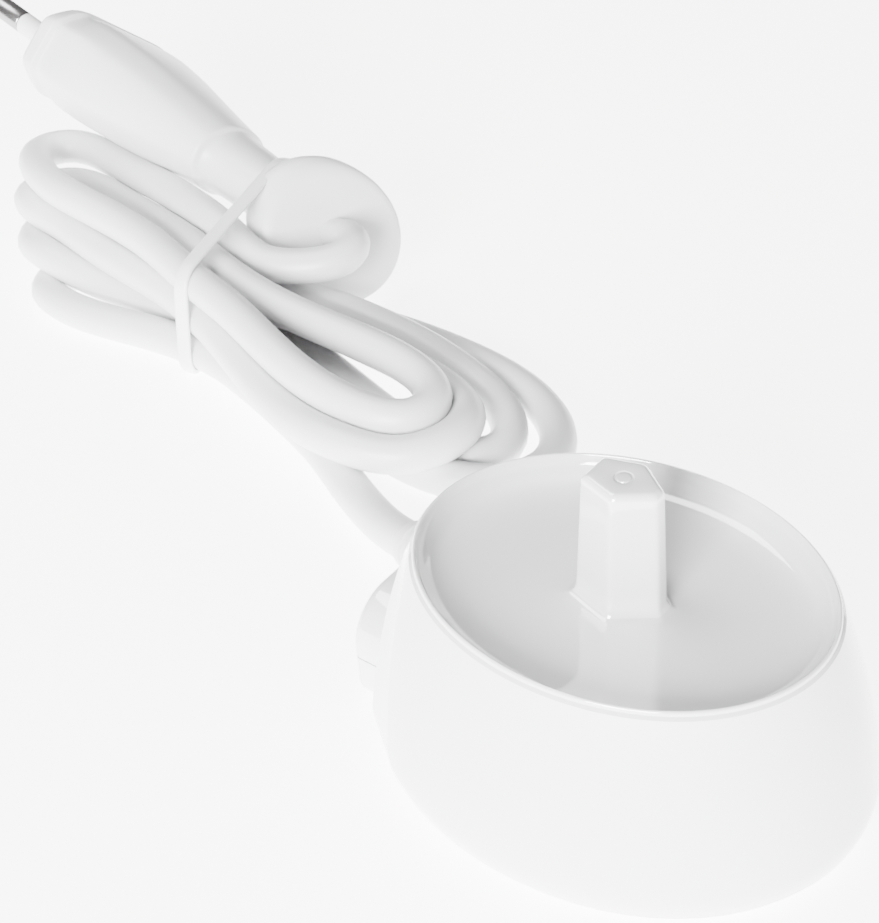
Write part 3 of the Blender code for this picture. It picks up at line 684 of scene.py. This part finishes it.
@dataclass
class Outlet:
    """The two-part cord outlet on the rear face."""

    left: float = -12.0
    right: float = 14.0
    top: float = 16.5
    seam: float = 8.1
    bottom: float = 2.4
    start_y: float = 26.9
    end_y: float = 33.735
    crown: float = 7.0
    edge: float = 1.3
    bore_from: Vector = field(default_factory=lambda: Vector((7.0, 25.0, 9.8)))
    bore_to: Vector = field(default_factory=lambda: Vector((11.2, 42.4, 6.4)))
    bore_radius: float = 4.5
    foot: float = 0.8

    def outline(self, low: float, high: float, shrink: float) -> list[tuple[float, float]]:
        """Section of one half across the rear face.

        Args:
            low: its lower height.
            high: its upper height.
            shrink: how far inside the full outline, on its outer sides.

        Returns:
            (x, z) points.
        """
        left, right = self.left + shrink, self.right - shrink
        if high < self.top:
            foot = self.foot
            floor = low + shrink
            points = [(left, high), (left, floor + foot)]
            for turn in map(math.radians, (30, 60, 90)):
                points.append((left + foot * (1 - math.cos(turn)), floor + foot * (1 - math.sin(turn))))
            points += [(right - foot, floor), (right - foot * 0.3, floor + foot * 0.3)]
            points += [(right, floor + foot), (right, high)]
            return points
        points = [(left, low), (right, low)]
        for centre, start in ((right - self.crown + shrink, 0.0), (left + self.crown - shrink, 90.0)):
            for k in range(13):
                t = math.radians(start + 7.5 * k)
                reach = self.crown - shrink
                points.append((centre + reach * math.cos(t), self.top - self.crown + reach * math.sin(t)))
        return points

    def bore(self, piece: bpy.types.Object) -> None:
        """Cut the lead's bore through a piece and apply it."""
        along = (self.bore_to - self.bore_from).normalized()
        rings = [ring_about(self.bore_from - along * 4, self.bore_radius, 48, along),
                 ring_about(self.bore_to + along * 3, self.bore_radius, 48, along)]
        tool = loft("bore_tool", rings, SHELL_GLOSS)
        mod = piece.modifiers.new("bore", "BOOLEAN")
        mod.operation, mod.object, mod.solver = "DIFFERENCE", tool, "EXACT"
        bpy.context.view_layer.update()
        mesh = bpy.data.meshes.new_from_object(piece.evaluated_get(bpy.context.evaluated_depsgraph_get()))
        piece.modifiers.clear()
        piece.data = mesh
        bpy.data.objects.remove(tool, do_unlink=True)

    def half(self, name: str, low: float, high: float, finish: Finish, node: str) -> None:
        """Make one half with rounded end edges.

        Args:
            name: piece name.
            low: lower height.
            high: upper height.
            finish: its finish.
            node: CAD node it replaces.
        """
        rings = []
        stations = [(self.start_y, 0.0), (self.end_y - self.edge, 0.0)]
        for k in range(1, 7):
            t = math.radians(15 * k)
            stations.append((self.end_y - self.edge * (1 - math.sin(t)), self.edge * (1 - math.cos(t))))
        for y, shrink in stations:
            rings.append([Vector((x, y, z)) for x, z in self.outline(low, high, shrink)])
        piece = loft(name, rings, finish, 32.0)
        self.bore(piece)
        settle(piece, node)

    def build(self) -> None:
        """Make the hood above the seam and the tray below it."""
        self.half("cord_outlet_hood", self.seam + 0.12, self.top, SHELL_GLOSS, "outlet_hood")
        self.half("cord_outlet_tray", self.bottom, self.seam - 0.12, SHELL_GLOSS, "outlet_tray")


# ---------------------------------------------------------------------------------------- plug --
@dataclass
class Plug:
    """Moulded flat two-pin plug with a tapered body, a necked collar and an oval grip disc."""

    roll: float = -50.0
    pin_spacing: float = 18.2
    pin_radius: float = 2.0
    pin_length: float = 19.0
    sleeve_length: float = 10.0
    grip_depth: float = 57.5
    grip_tilt: float = 47.0
    grip_tilt_axis: float = -72.0
    edge_sharpness: float = 26.0
    sides: int = 96
    body: tuple[tuple[float, ...], ...] = (
        (16.4, 6.9, 0.0, 0.0), (17.0, 7.6, 0.0, 0.4), (17.4, 8.0, 0.0, 1.1), (17.4, 8.5, 0.0, 3.0),
        (17.0, 8.3, 0.0, 3.4), (16.5, 8.2, 0.04, 3.9), (16.5, 8.8, 0.12, 7.0), (16.0, 9.0, 0.25, 11.0),
        (14.8, 8.9, 0.42, 16.0),
        (12.3, 7.9, 0.7, 26.0), (10.0, 6.7, 0.9, 35.6), (9.8, 6.6, 0.95, 36.6), (8.6, 5.9, 1.0, 37.3),
        (7.3, 5.6, 1.0, 43.0), (6.7, 5.5, 1.0, 46.5), (6.4, 5.5, 1.0, 49.0))
    grip: tuple[tuple[float, ...], ...] = (
        (6.4, 6.0, -2.6), (8.4, 8.0, -2.2), (10.2, 9.8, -1.3), (11.5, 11.1, 0.0), (12.2, 11.8, 1.4),
        (12.4, 12.0, 2.8),
        (12.4, 12.0, 4.2), (12.2, 11.8, 5.0), (11.7, 11.3, 5.6), (10.8, 10.4, 6.0), (4.6, 4.6, 6.2), (3.5, 3.5, 6.2))

    def __post_init__(self) -> None:
        """Take the face's place and direction from the record and work out the plug's own axes."""
        self.face, along = mount_place("plug_face")
        up = (Vector((0, 0, 1)) - along * along.z).normalized()
        side, roll = along.cross(up), math.radians(self.roll)
        across = up * math.cos(roll) + side * math.sin(roll)
        self.axes = Matrix((across, along.cross(across), along)).transposed()
        self.along = along

    def point(self, x: float, y: float, depth: float) -> Vector:
        """World place of a point, its depth counted from the face towards the tail."""
        return self.face + self.axes @ Vector((x, y, -depth))

    def section(self, width: float, thick: float, roundness: float, depth: float, tilt: Matrix | None = None) -> Ring:
        """One section: a flat hexagon that turns into an oval as roundness goes from 0 to 1.

        Args:
            width: half width.
            thick: half thickness.
            roundness: 0 to 1.
            depth: depth behind the face.
            tilt: turn of the section about its own middle.

        Returns:
            The ring.
        """
        points = []
        for k in range(self.sides):
            a = 2 * math.pi * k / self.sides
            c, s = math.cos(a), math.sin(a)
            soft = self.edge_sharpness
            flat = (abs(c) ** soft + abs(s) ** soft + ((abs(c) * 0.95 + abs(s) * 0.72) / 1.36) ** soft) ** (-1 / soft)
            reach = flat + (1.0 - flat) * roundness
            place = Vector((width * c * reach, thick * s * reach, 0))
            if tilt is not None:
                place = tilt @ place
            points.append(self.face + self.axes @ (place + Vector((0, 0, -depth))))
        return points

    def half_sizes(self, depth: np.ndarray) -> tuple[np.ndarray, np.ndarray]:
        """Half width and half thickness of body and grip at each depth."""
        table = np.array([(d, w, t) for w, t, _, d in self.body]
                         + [(self.grip_depth + d, w, t) for w, t, d in self.grip if d > -2.3])
        width = np.interp(depth, table[:, 0], table[:, 1], left=0.01, right=0.01)
        thick = np.interp(depth, table[:, 0], table[:, 2], left=0.01, right=0.01)
        return width, thick

    def push_out(self, places: np.ndarray, clearance: float) -> np.ndarray:
        """Move points that lie too near the plug out of it, across its thickness.

        Args:
            places: points in millimetres.
            clearance: distance kept.

        Returns:
            The moved points.
        """
        axes = np.array(self.axes)
        local = (places - np.array(self.face)) @ axes
        depth = -local[:, 2]
        width, thick = self.half_sizes(depth)
        width, thick = width + clearance, thick + clearance
        level = (local[:, 0] / width) ** 2 + (local[:, 1] / thick) ** 2
        inside = (level < 1) & (depth > 0) & (depth < self.grip_depth + 4)
        wanted = thick * np.sqrt(np.clip(1 - (local[:, 0] / width) ** 2, 0, 1))
        local[inside, 1] += 0.35 * (np.where(local[inside, 1] > 0, 1, -1) * wanted[inside] - local[inside, 1])
        return np.array(self.face) + local @ axes.T

    def build(self) -> list[bpy.types.Object]:
        """Make body, sleeves and pins.

        Returns:
            The pieces that belong to the lead.
        """
        about = math.radians(self.grip_tilt_axis)
        tilt = Matrix.Rotation(math.radians(self.grip_tilt), 3, Vector((math.cos(about), math.sin(about), 0)))
        rings = [self.section(w, t, r, d) for w, t, r, d in spread(self.body, 3, 4)]
        rings += [self.section(w, t, 1.0, self.grip_depth + d, tilt) for w, t, d in self.grip]
        body = loft("plug_moulding", rings, PLUG_SOFT, 50.0)
        settle(body, "plug_body")
        pieces = [body]
        for side, x in (("upper", self.pin_spacing / 2), ("lower", -self.pin_spacing / 2)):
            pieces += [self.pin(side, x), self.sleeve(side, x)]
        return pieces

    def pin(self, side: str, x: float) -> bpy.types.Object:
        """A round contact pin with a domed tip."""
        profile = [(1.2, 2.0), (1.2, -self.sleeve_length), (self.pin_radius - 0.15, -self.sleeve_length - 0.05),
                   (self.pin_radius, -self.sleeve_length - 0.25), (self.pin_radius, 1.5 - self.pin_length)]
        for k in range(1, 9):
            t = math.radians(11 * k)
            profile.append((max(0.1, self.pin_radius * math.cos(t)), -(self.pin_length - 1.5 + 1.5 * math.sin(t))))
        rings = [ring_about(self.point(x, 0, depth), radius, 40, self.along) for radius, depth in profile]
        return settle(loft(f"contact_pin_{side}", rings, PIN_NICKEL, 40.0), f"plug_pin_{side}")

    def sleeve(self, side: str, x: float) -> bpy.types.Object:
        """The insulating sleeve on the half of the pin next to the face."""
        profile = ((1.3, 1.5), (self.pin_radius - 0.02, 1.5), (self.pin_radius - 0.02, 0.3 - self.sleeve_length),
                   (self.pin_radius - 0.3, -self.sleeve_length), (1.3, -self.sleeve_length))
        rings = [ring_about(self.point(x, 0, depth), radius, 40, self.along) for radius, depth in profile]
        return settle(loft(f"contact_sleeve_{side}", rings, SLEEVE_PLASTIC, 40.0, closed=True), f"pin_sleeve_{side}")


# ---------------------------------------------------------------------------------------- lead --
@dataclass
class Lead:
    """The mains lead: one continuous round cord from the base, through nine folds, to the plug."""

    radius: float = 3.0
    spacing: float = 2.4
    rounds: int = 260
    tightest: float = 4.6
    smoothings: int = 10
    openings: int = 120
    outlet_reach: float = 38.0
    outlet_run: tuple[tuple[float, float, float], ...] = (
        (6.0, 21.0, 10.2), (7.0, 25.0, 9.8), (8.9, 33.0, 8.3), (11.2, 42.4, 6.4), (13.6, 49.0, 4.2),
        (17.0, 56.0, 3.1))
    floor_run: tuple[tuple[float, float, float], ...] = (
        (20.5, 63.0, 3.1), (25.0, 73.0, 3.1), (30.0, 86.0, 3.1), (34.0, 98.0, 3.1), (35.0, 108.0, 3.1))
    left_lowest: tuple[tuple[float, float, float], ...] = (
        (32.5, 118.5, 3.1), (29.6, 126.5, 3.1), (29.5, 135.5, 3.1), (33.0, 144.0, 3.4), (38.5, 147.5, 3.8),
        (42.5, 143.0, 4.2), (43.5, 132.0, 4.0), (46.0, 118.0, 3.6))
    right_outermost: tuple[tuple[float, float, float], ...] = (
        (51.0, 105.0, 3.6), (53.0, 92.0, 4.5), (54.5, 79.0, 4.8), (54.5, 68.5, 4.2), (54.5, 55.5, 3.6),
        (53.0, 47.5, 3.1),
        (47.5, 39.8, 3.1), (40.0, 36.0, 3.1), (33.0, 38.5, 3.1), (28.4, 45.5, 3.1), (28.0, 57.0, 3.1),
        (30.5, 70.0, 3.4),
        (35.5, 86.0, 3.8), (40.5, 101.0, 3.8))
    left_third: tuple[tuple[float, float, float], ...] = (
        (39.5, 114.0, 5.5), (38.0, 127.5, 6.5), (36.5, 140.5, 6.8), (38.0, 150.5, 7.2), (42.5, 156.0, 7.5),
        (47.5, 153.0, 7.5), (49.5, 145.0, 7.0), (49.5, 132.0, 7.0), (50.0, 117.0, 8.0))
    right_third: tuple[tuple[float, float, float], ...] = (
        (50.0, 105.0, 8.6), (48.5, 94.5, 8.2), (49.0, 83.5, 7.5), (50.5, 74.0, 6.5), (51.0, 64.0, 5.2),
        (48.6, 52.0, 4.0),
        (43.0, 45.0, 3.3), (36.0, 43.8, 3.1), (32.2, 49.5, 3.1), (33.5, 61.0, 3.1), (36.5, 72.0, 3.1),
        (41.0, 87.0, 3.1),
        (46.0, 102.0, 3.1))
    left_hidden: tuple[tuple[float, float, float], ...] = (
        (49.0, 116.0, 3.1), (52.0, 130.0, 3.1), (53.5, 145.0, 3.1), (52.0, 154.0, 3.3), (47.5, 157.0, 3.6),
        (44.0, 151.0, 4.5), (44.5, 138.0, 6.5), (45.0, 122.0, 8.0), (44.5, 108.0, 8.5))
    right_second: tuple[tuple[float, float, float], ...] = (
        (44.5, 96.0, 8.5), (45.5, 84.0, 8.0), (47.0, 73.0, 7.2), (45.0, 61.0, 6.8), (40.3, 52.6, 6.3),
        (32.7, 49.0, 6.1),
        (25.0, 52.0, 6.1), (21.6, 61.5, 6.3), (25.0, 76.0, 7.0), (30.5, 90.0, 8.0), (34.5, 103.0, 8.6))
    left_second: tuple[tuple[float, float, float], ...] = (
        (38.0, 114.0, 10.0), (39.0, 126.0, 10.5), (39.0, 140.0, 10.8), (39.5, 150.0, 11.2), (43.5, 156.5, 11.5),
        (49.5, 155.0, 11.0), (51.5, 146.0, 10.5), (49.0, 131.0, 10.5), (44.5, 116.0, 11.0))
    right_first: tuple[tuple[float, float, float], ...] = (
        (41.5, 104.0, 11.5), (40.0, 92.5, 12.0), (40.5, 80.0, 11.8), (41.3, 67.0, 11.2), (40.0, 58.0, 10.6),
        (35.8, 51.8, 10.0), (29.6, 50.8, 9.8), (24.6, 55.8, 9.9), (23.4, 66.0, 10.3), (25.8, 78.0, 11.5),
        (30.5, 90.5, 12.5), (36.0, 102.0, 14.0))
    left_first: tuple[tuple[float, float, float], ...] = (
        (39.5, 112.0, 14.5), (40.5, 125.0, 14.2), (39.5, 139.0, 14.0), (40.0, 150.0, 14.2), (44.0, 156.5, 14.8),
        (51.5, 160.8, 16.0), (57.5, 158.0, 17.0), (59.3, 150.5, 17.4), (57.0, 141.0, 17.4), (53.0, 128.5, 17.0),
        (48.5, 115.5, 16.0))
    tail: tuple[tuple[float, float, float], ...] = (
        (47.0, 107.0, 15.6), (47.4, 100.5, 14.6), (48.4, 94.8, 13.8), (50.4, 89.6, 13.8), (53.6, 86.6, 14.6),
        (57.4, 87.8, 15.8), (59.6, 92.0, 16.0), (60.8, 96.4, 14.5), (62.0, 99.4, 12.6))

    def route(self) -> np.ndarray:
        """Even points on a smooth curve through all the runs in turn.

        Returns:
            Points in millimetres.
        """
        runs = (self.outlet_run, self.floor_run, self.left_lowest, self.right_outermost, self.left_third,
                self.right_third, self.left_hidden, self.right_second, self.left_second, self.right_first,
                self.left_first, self.tail)
        return self.even(np.array([p for run in runs for p in run]), self.spacing)

    @staticmethod
    def even(points: np.ndarray, spacing: float) -> np.ndarray:
        """Resample points on a Catmull-Rom curve to one spacing.

        Args:
            points: points that the curve runs through.
            spacing: distance wanted.

        Returns:
            The new points.
        """
        ends = np.vstack([2 * points[0] - points[1], points, 2 * points[-1] - points[-2]])
        fine = []
        for a, b, c, d in zip(ends, ends[1:], ends[2:], ends[3:]):
            t = np.linspace(0, 1, 20, endpoint=False)[:, None]
            fine.append(0.5 * (2 * b + (c - a) * t + (2 * a - 5 * b + 4 * c - d) * t ** 2
                               + (3 * b - a - 3 * c + d) * t ** 3))
        line = np.vstack([*fine, points[-1:]])
        run = np.concatenate([[0], np.cumsum(np.linalg.norm(np.diff(line, axis=0), axis=1))])
        want = np.linspace(0, run[-1], max(3, round(run[-1] / spacing) + 1))
        return np.column_stack([np.interp(want, run, line[:, k]) for k in range(3)])

    def relax(self, plug: Plug) -> np.ndarray:
        """Push apart strands that overlap, and keep them off the floor and the plug as far as the runs allow.

        Args:
            plug: the plug that the strands keep clear of.

        Returns:
            The settled centreline in millimetres. Runs that cross at one height can stay crossed.
        """
        line = self.route()
        wanted = line.copy()
        count = len(line)
        held = np.zeros(count)
        fixed = int(self.outlet_reach / self.spacing)
        held[:fixed] = 1
        held[-6:] = 1
        free = (1 - held)[:, None]
        apart = 2 * self.radius + 0.12
        order = np.arange(count)
        far = np.abs(order[:, None] - order[None, :]) > 3.2 * self.radius / self.spacing * 1.6
        for step in range(self.rounds):
            gaps = line[:, None, :] - line[None, :, :]
            reach = np.linalg.norm(gaps, axis=2) + 1e-9
            near = far & (reach < apart)
            push = np.where(near, (apart - reach) * 0.42, 0.0)
            shove = (gaps / reach[:, :, None] * push[:, :, None]).sum(axis=1)
            line = line + shove * free
            smooth = np.zeros_like(line)
            smooth[1:-1] = (line[:-2] + line[2:]) / 2 - line[1:-1]
            line = line + smooth * 0.15 * free
            pull = 0.03 if step < self.rounds * 0.7 else 0.008
            line = line + (wanted - line) * pull * free
            outside = plug.push_out(line, self.radius + 0.1)
            tail = np.ones((count, 1))
            tail[-9:] = 0
            line = line + (outside - line) * free * tail
            line[:, 2] = np.maximum(line[:, 2], self.radius + 0.05)
        for _ in range(self.smoothings):
            line[1:-1] = (line[:-2] + 4 * line[1:-1] + line[2:]) / 6
        line = self.even(line, self.spacing)
        for _ in range(self.openings):
            bend = line[:-2] + line[2:] - 2 * line[1:-1]
            excess = np.linalg.norm(bend, axis=1) * self.tightest / self.spacing ** 2 - 1
            line[1:-1] += bend * 0.25 * np.clip(excess * 3, 0, 1)[:, None]
        return self.even(line, 1.5)

    def build(self, plug: Plug, plug_pieces: list[bpy.types.Object]) -> np.ndarray:
        """Args:
            plug: the plug at its end.
            plug_pieces: not used.

        Returns:
            The settled centreline.
        """
        line = self.relax(plug)
        curve = bpy.data.curves.new("mains_lead", "CURVE")
        curve.dimensions = "3D"
        curve.bevel_depth = self.radius * MM
        curve.bevel_resolution = 6
        curve.use_fill_caps = True
        spline = curve.splines.new("POLY")
        spline.points.add(len(line) - 1)
        for point, place in zip(spline.points, line):
            point.co = (*(place * MM), 1.0)
        spline.use_smooth = True
        curve.materials.append(CORD_JACKET.material())
        cord = bpy.data.objects.new("mains_lead", curve)
        bpy.context.collection.objects.link(cord)
        settle(cord, "cord_lead", "cord_tail", "cord_hank")
        relief = StrainRelief().build()
        exit_point = Vector(Outlet().bore_to) * MM
        return line


@dataclass
class StrainRelief:
    """Tapered ribbed rubber sleeve where the lead leaves the outlet."""

    start: Vector = field(default_factory=lambda: Vector((7.0, 25.0, 9.8)))
    end: Vector = field(default_factory=lambda: Vector((11.2, 42.4, 6.4)))
    radii: tuple[float, float] = (4.15, 3.7)
    bore: float = 3.08
    ribs: int = 5

    def build(self) -> bpy.types.Object:
        """Make the sleeve with its ring ribs.

        Returns:
            The piece.
        """
        along = (self.end - self.start).normalized()
        total = (self.end - self.start).length
        profile = [(self.bore, 0.0), (self.radii[0], 0.0), (self.radii[0], total * 0.5)]
        pitch = total * 0.44 / self.ribs
        for k in range(self.ribs):
            base = total * 0.52 + pitch * k
            reach = self.radii[0] + (self.radii[1] - self.radii[0]) * (k + 1) / self.ribs
            profile += [(3.35, base), (3.35, base + pitch * 0.35), (reach, base + pitch * 0.45),
                        (reach, base + pitch * 0.95)]
        profile += [(self.radii[1] - 0.2, total - 0.15), (self.bore + 0.15, total), (self.bore, total)]
        rings = [ring_about(self.start + along * at, radius, 48, along) for radius, at in profile]
        return settle(loft("lead_strain_relief", rings, CORD_JACKET, 40.0, closed=True), "strain_relief")


@dataclass
class Tie:
    """Thin flat band drawn tight round the strands and the plug's neck."""

    centre: Vector = field(default_factory=lambda: Vector((39.4, 106.5, 0.0)))
    direction: Vector = field(default_factory=lambda: Vector((0.98, 0.19, 0.0)).normalized())
    width: float = 2.4
    thickness: float = 0.9
    clearance: float = 0.3

    def crossings(self, line: np.ndarray, plug: Plug) -> np.ndarray:
        """Points that the band has to go round, as (across, height) pairs in its own plane.

        Args:
            line: the lead's centreline.
            plug: the plug, whose neck it holds.

        Returns:
            The points.
        """
        normal = np.array(Vector((0, 0, 1)).cross(self.direction))
        across, origin = np.array(self.direction), np.array(self.centre)
        side = (line - origin) @ normal
        found = []
        reach = 3.0 + self.clearance + self.thickness / 2
        turns = np.linspace(0, 2 * math.pi, 24, endpoint=False)
        for k in np.nonzero(side[:-1] * side[1:] < 0)[0]:
            share = side[k] / (side[k] - side[k + 1])
            place = line[k] + (line[k + 1] - line[k]) * share
            if np.linalg.norm((place - origin)[:2]) > 45:
                continue
            tangent = (line[k + 1] - line[k]) / np.linalg.norm(line[k + 1] - line[k])
            stretch = 1 / max(0.5, abs(float(tangent @ normal)))
            middle = ((place - origin) @ across, place[2])
            found += [(middle[0] + reach * stretch * math.cos(t), middle[1] + reach * math.sin(t)) for t in turns]
        grow = self.clearance + self.thickness / 2
        for depth in np.linspace(40, 54, 57):
            width, thick = plug.half_sizes(np.array([depth]))
            for p in plug.section(float(width[0]) + grow, float(thick[0]) + grow, 1.0, float(depth)):
                offset = np.array(p) - origin
                if abs(offset @ normal) < 0.6:
                    found.append((float(offset @ across), p.z))
        return np.array(found)

    @staticmethod
    def hull(points: np.ndarray) -> np.ndarray:
        """Convex outline of points in a plane, anticlockwise."""
        ordered = sorted(map(tuple, points))

        def chain(seq: Iterable[tuple[float, float]]) -> list[tuple[float, float]]:
            """One side of the hull."""
            side: list[tuple[float, float]] = []
            for p in seq:
                while len(side) > 1 and ((side[-1][0] - side[-2][0]) * (p[1] - side[-2][1])
                                         - (side[-1][1] - side[-2][1]) * (p[0] - side[-2][0])) <= 0:
                    side.pop()
                side.append(p)
            return side

        return np.array(chain(ordered)[:-1] + chain(reversed(ordered))[:-1])

    def build(self, line: np.ndarray, plug: Plug) -> bpy.types.Object:
        """Make the band.

        Args:
            line: the lead's centreline.
            plug: the plug.

        Returns:
            The piece.
        """
        outline = self.hull(self.crossings(line, plug))
        closed = np.vstack([outline, outline[:1]])
        run = np.concatenate([[0], np.cumsum(np.linalg.norm(np.diff(closed, axis=0), axis=1))])
        want = np.linspace(0, run[-1], 161)[:-1]
        loop = np.column_stack([np.interp(want, run, closed[:, k]) for k in range(2)])
        for _ in range(4):
            loop = (np.roll(loop, 1, axis=0) + 2 * loop + np.roll(loop, -1, axis=0)) / 4
        loop[:, 1] = np.maximum(loop[:, 1], self.thickness / 2 + 0.05)
        normal = Vector((0, 0, 1)).cross(self.direction)
        rings = []
        for k in range(len(loop)):
            ahead, behind = loop[(k + 1) % len(loop)], loop[k - 1]
            tangent = Vector(ahead - behind).normalized()
            out = self.direction * tangent.y + Vector((0, 0, -tangent.x))
            place = self.centre + self.direction * float(loop[k][0]) + Vector((0, 0, float(loop[k][1])))
            ring = []
            for j in range(16):
                t = 2 * math.pi * j / 16
                c, s = math.cos(t), math.sin(t)
                ring.append(place + normal * (math.copysign(abs(c) ** 0.55, c) * self.width / 2)
                            + out * (math.copysign(abs(s) ** 0.55, s) * self.thickness / 2))
            rings.append(ring)
        return settle(loft("tie_band", rings, TIE_PLASTIC, 60.0, closed=True), "cable_tie")


# -------------------------------------------------------------------------------------- inside --
@dataclass
class Winding:
    """The primary coil's wire, wound on the bobbin."""

    turns: int = 22
    wire: float = 0.3
    core: float = 6.75

    def build(self) -> None:
        """Wind the wire between the bobbin's flanges with a node tree."""
        low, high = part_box("primary_winding")
        height = high[2] - low[2] - 2 * self.wire * MM
        maker = NodeMaker("coil_turns", {"Turns": float(self.turns),
                                          "Radius": (self.core + self.wire) * MM, "Height": height,
                                         "Wire": self.wire * MM, "Core": self.core * MM, "Resolution": 40})
        helix = maker.add("GeometryNodeCurveSpiral", Resolution=maker.size("Resolution"), Rotations=maker.size("Turns"),
                          Start_Radius=maker.size("Radius"), End_Radius=maker.size("Radius"),
                           Height=maker.size("Height"))
        wire = maker.add("GeometryNodeCurvePrimitiveCircle", Resolution=8, Radius=maker.size("Wire"))
        tube = maker.add("GeometryNodeCurveToMesh", Curve=helix.outputs[0], Profile_Curve=wire.outputs[0])
        tube.inputs["Fill Caps"].default_value = True
        core = maker.add("GeometryNodeMeshCylinder", Vertices=48, Radius=maker.size("Core"), Depth=height)
        lift = maker.add("GeometryNodeTransform", Geometry=core.outputs[0], Translation=(0.0, 0.0, height / 2))
        both = maker.add("GeometryNodeJoinGeometry")
        for part in (tube, lift):
            maker.tree.links.new(part.outputs[0], both.inputs[0])
        place = maker.add("GeometryNodeTransform", Geometry=both.outputs[0],
                          Translation=(0.0, 0.0, low[2] + self.wire * MM))
        settle(maker.bake("coil_wire", place.outputs[0], WINDING_COPPER), "primary_winding")


def dress_nodes(finishes: dict[str, Finish]) -> None:
    """Give the carried-over nodes their finishes.

    Args:
        finishes: node name to finish.
    """
    for name, finish in finishes.items():
        obj = bpy.data.objects[name]
        for slot in obj.material_slots:
            slot.material = finish.material()
        LOG.info("node %s dressed as %s", name, finish.name)


def main() -> None:
    """Build the studio and every piece, in order."""
    logging.basicConfig(level=logging.INFO, format="%(message)s")
    Studio().build()
    plug = Plug()
    pieces = plug.build()
    tie_line = Lead().build(plug, pieces)
    Tie().build(tie_line, plug)
    Charger().build()
    Outlet().build()
    Winding().build()
    dress_nodes(NODE_FINISHES)


if __name__ == "__main__":
    main()
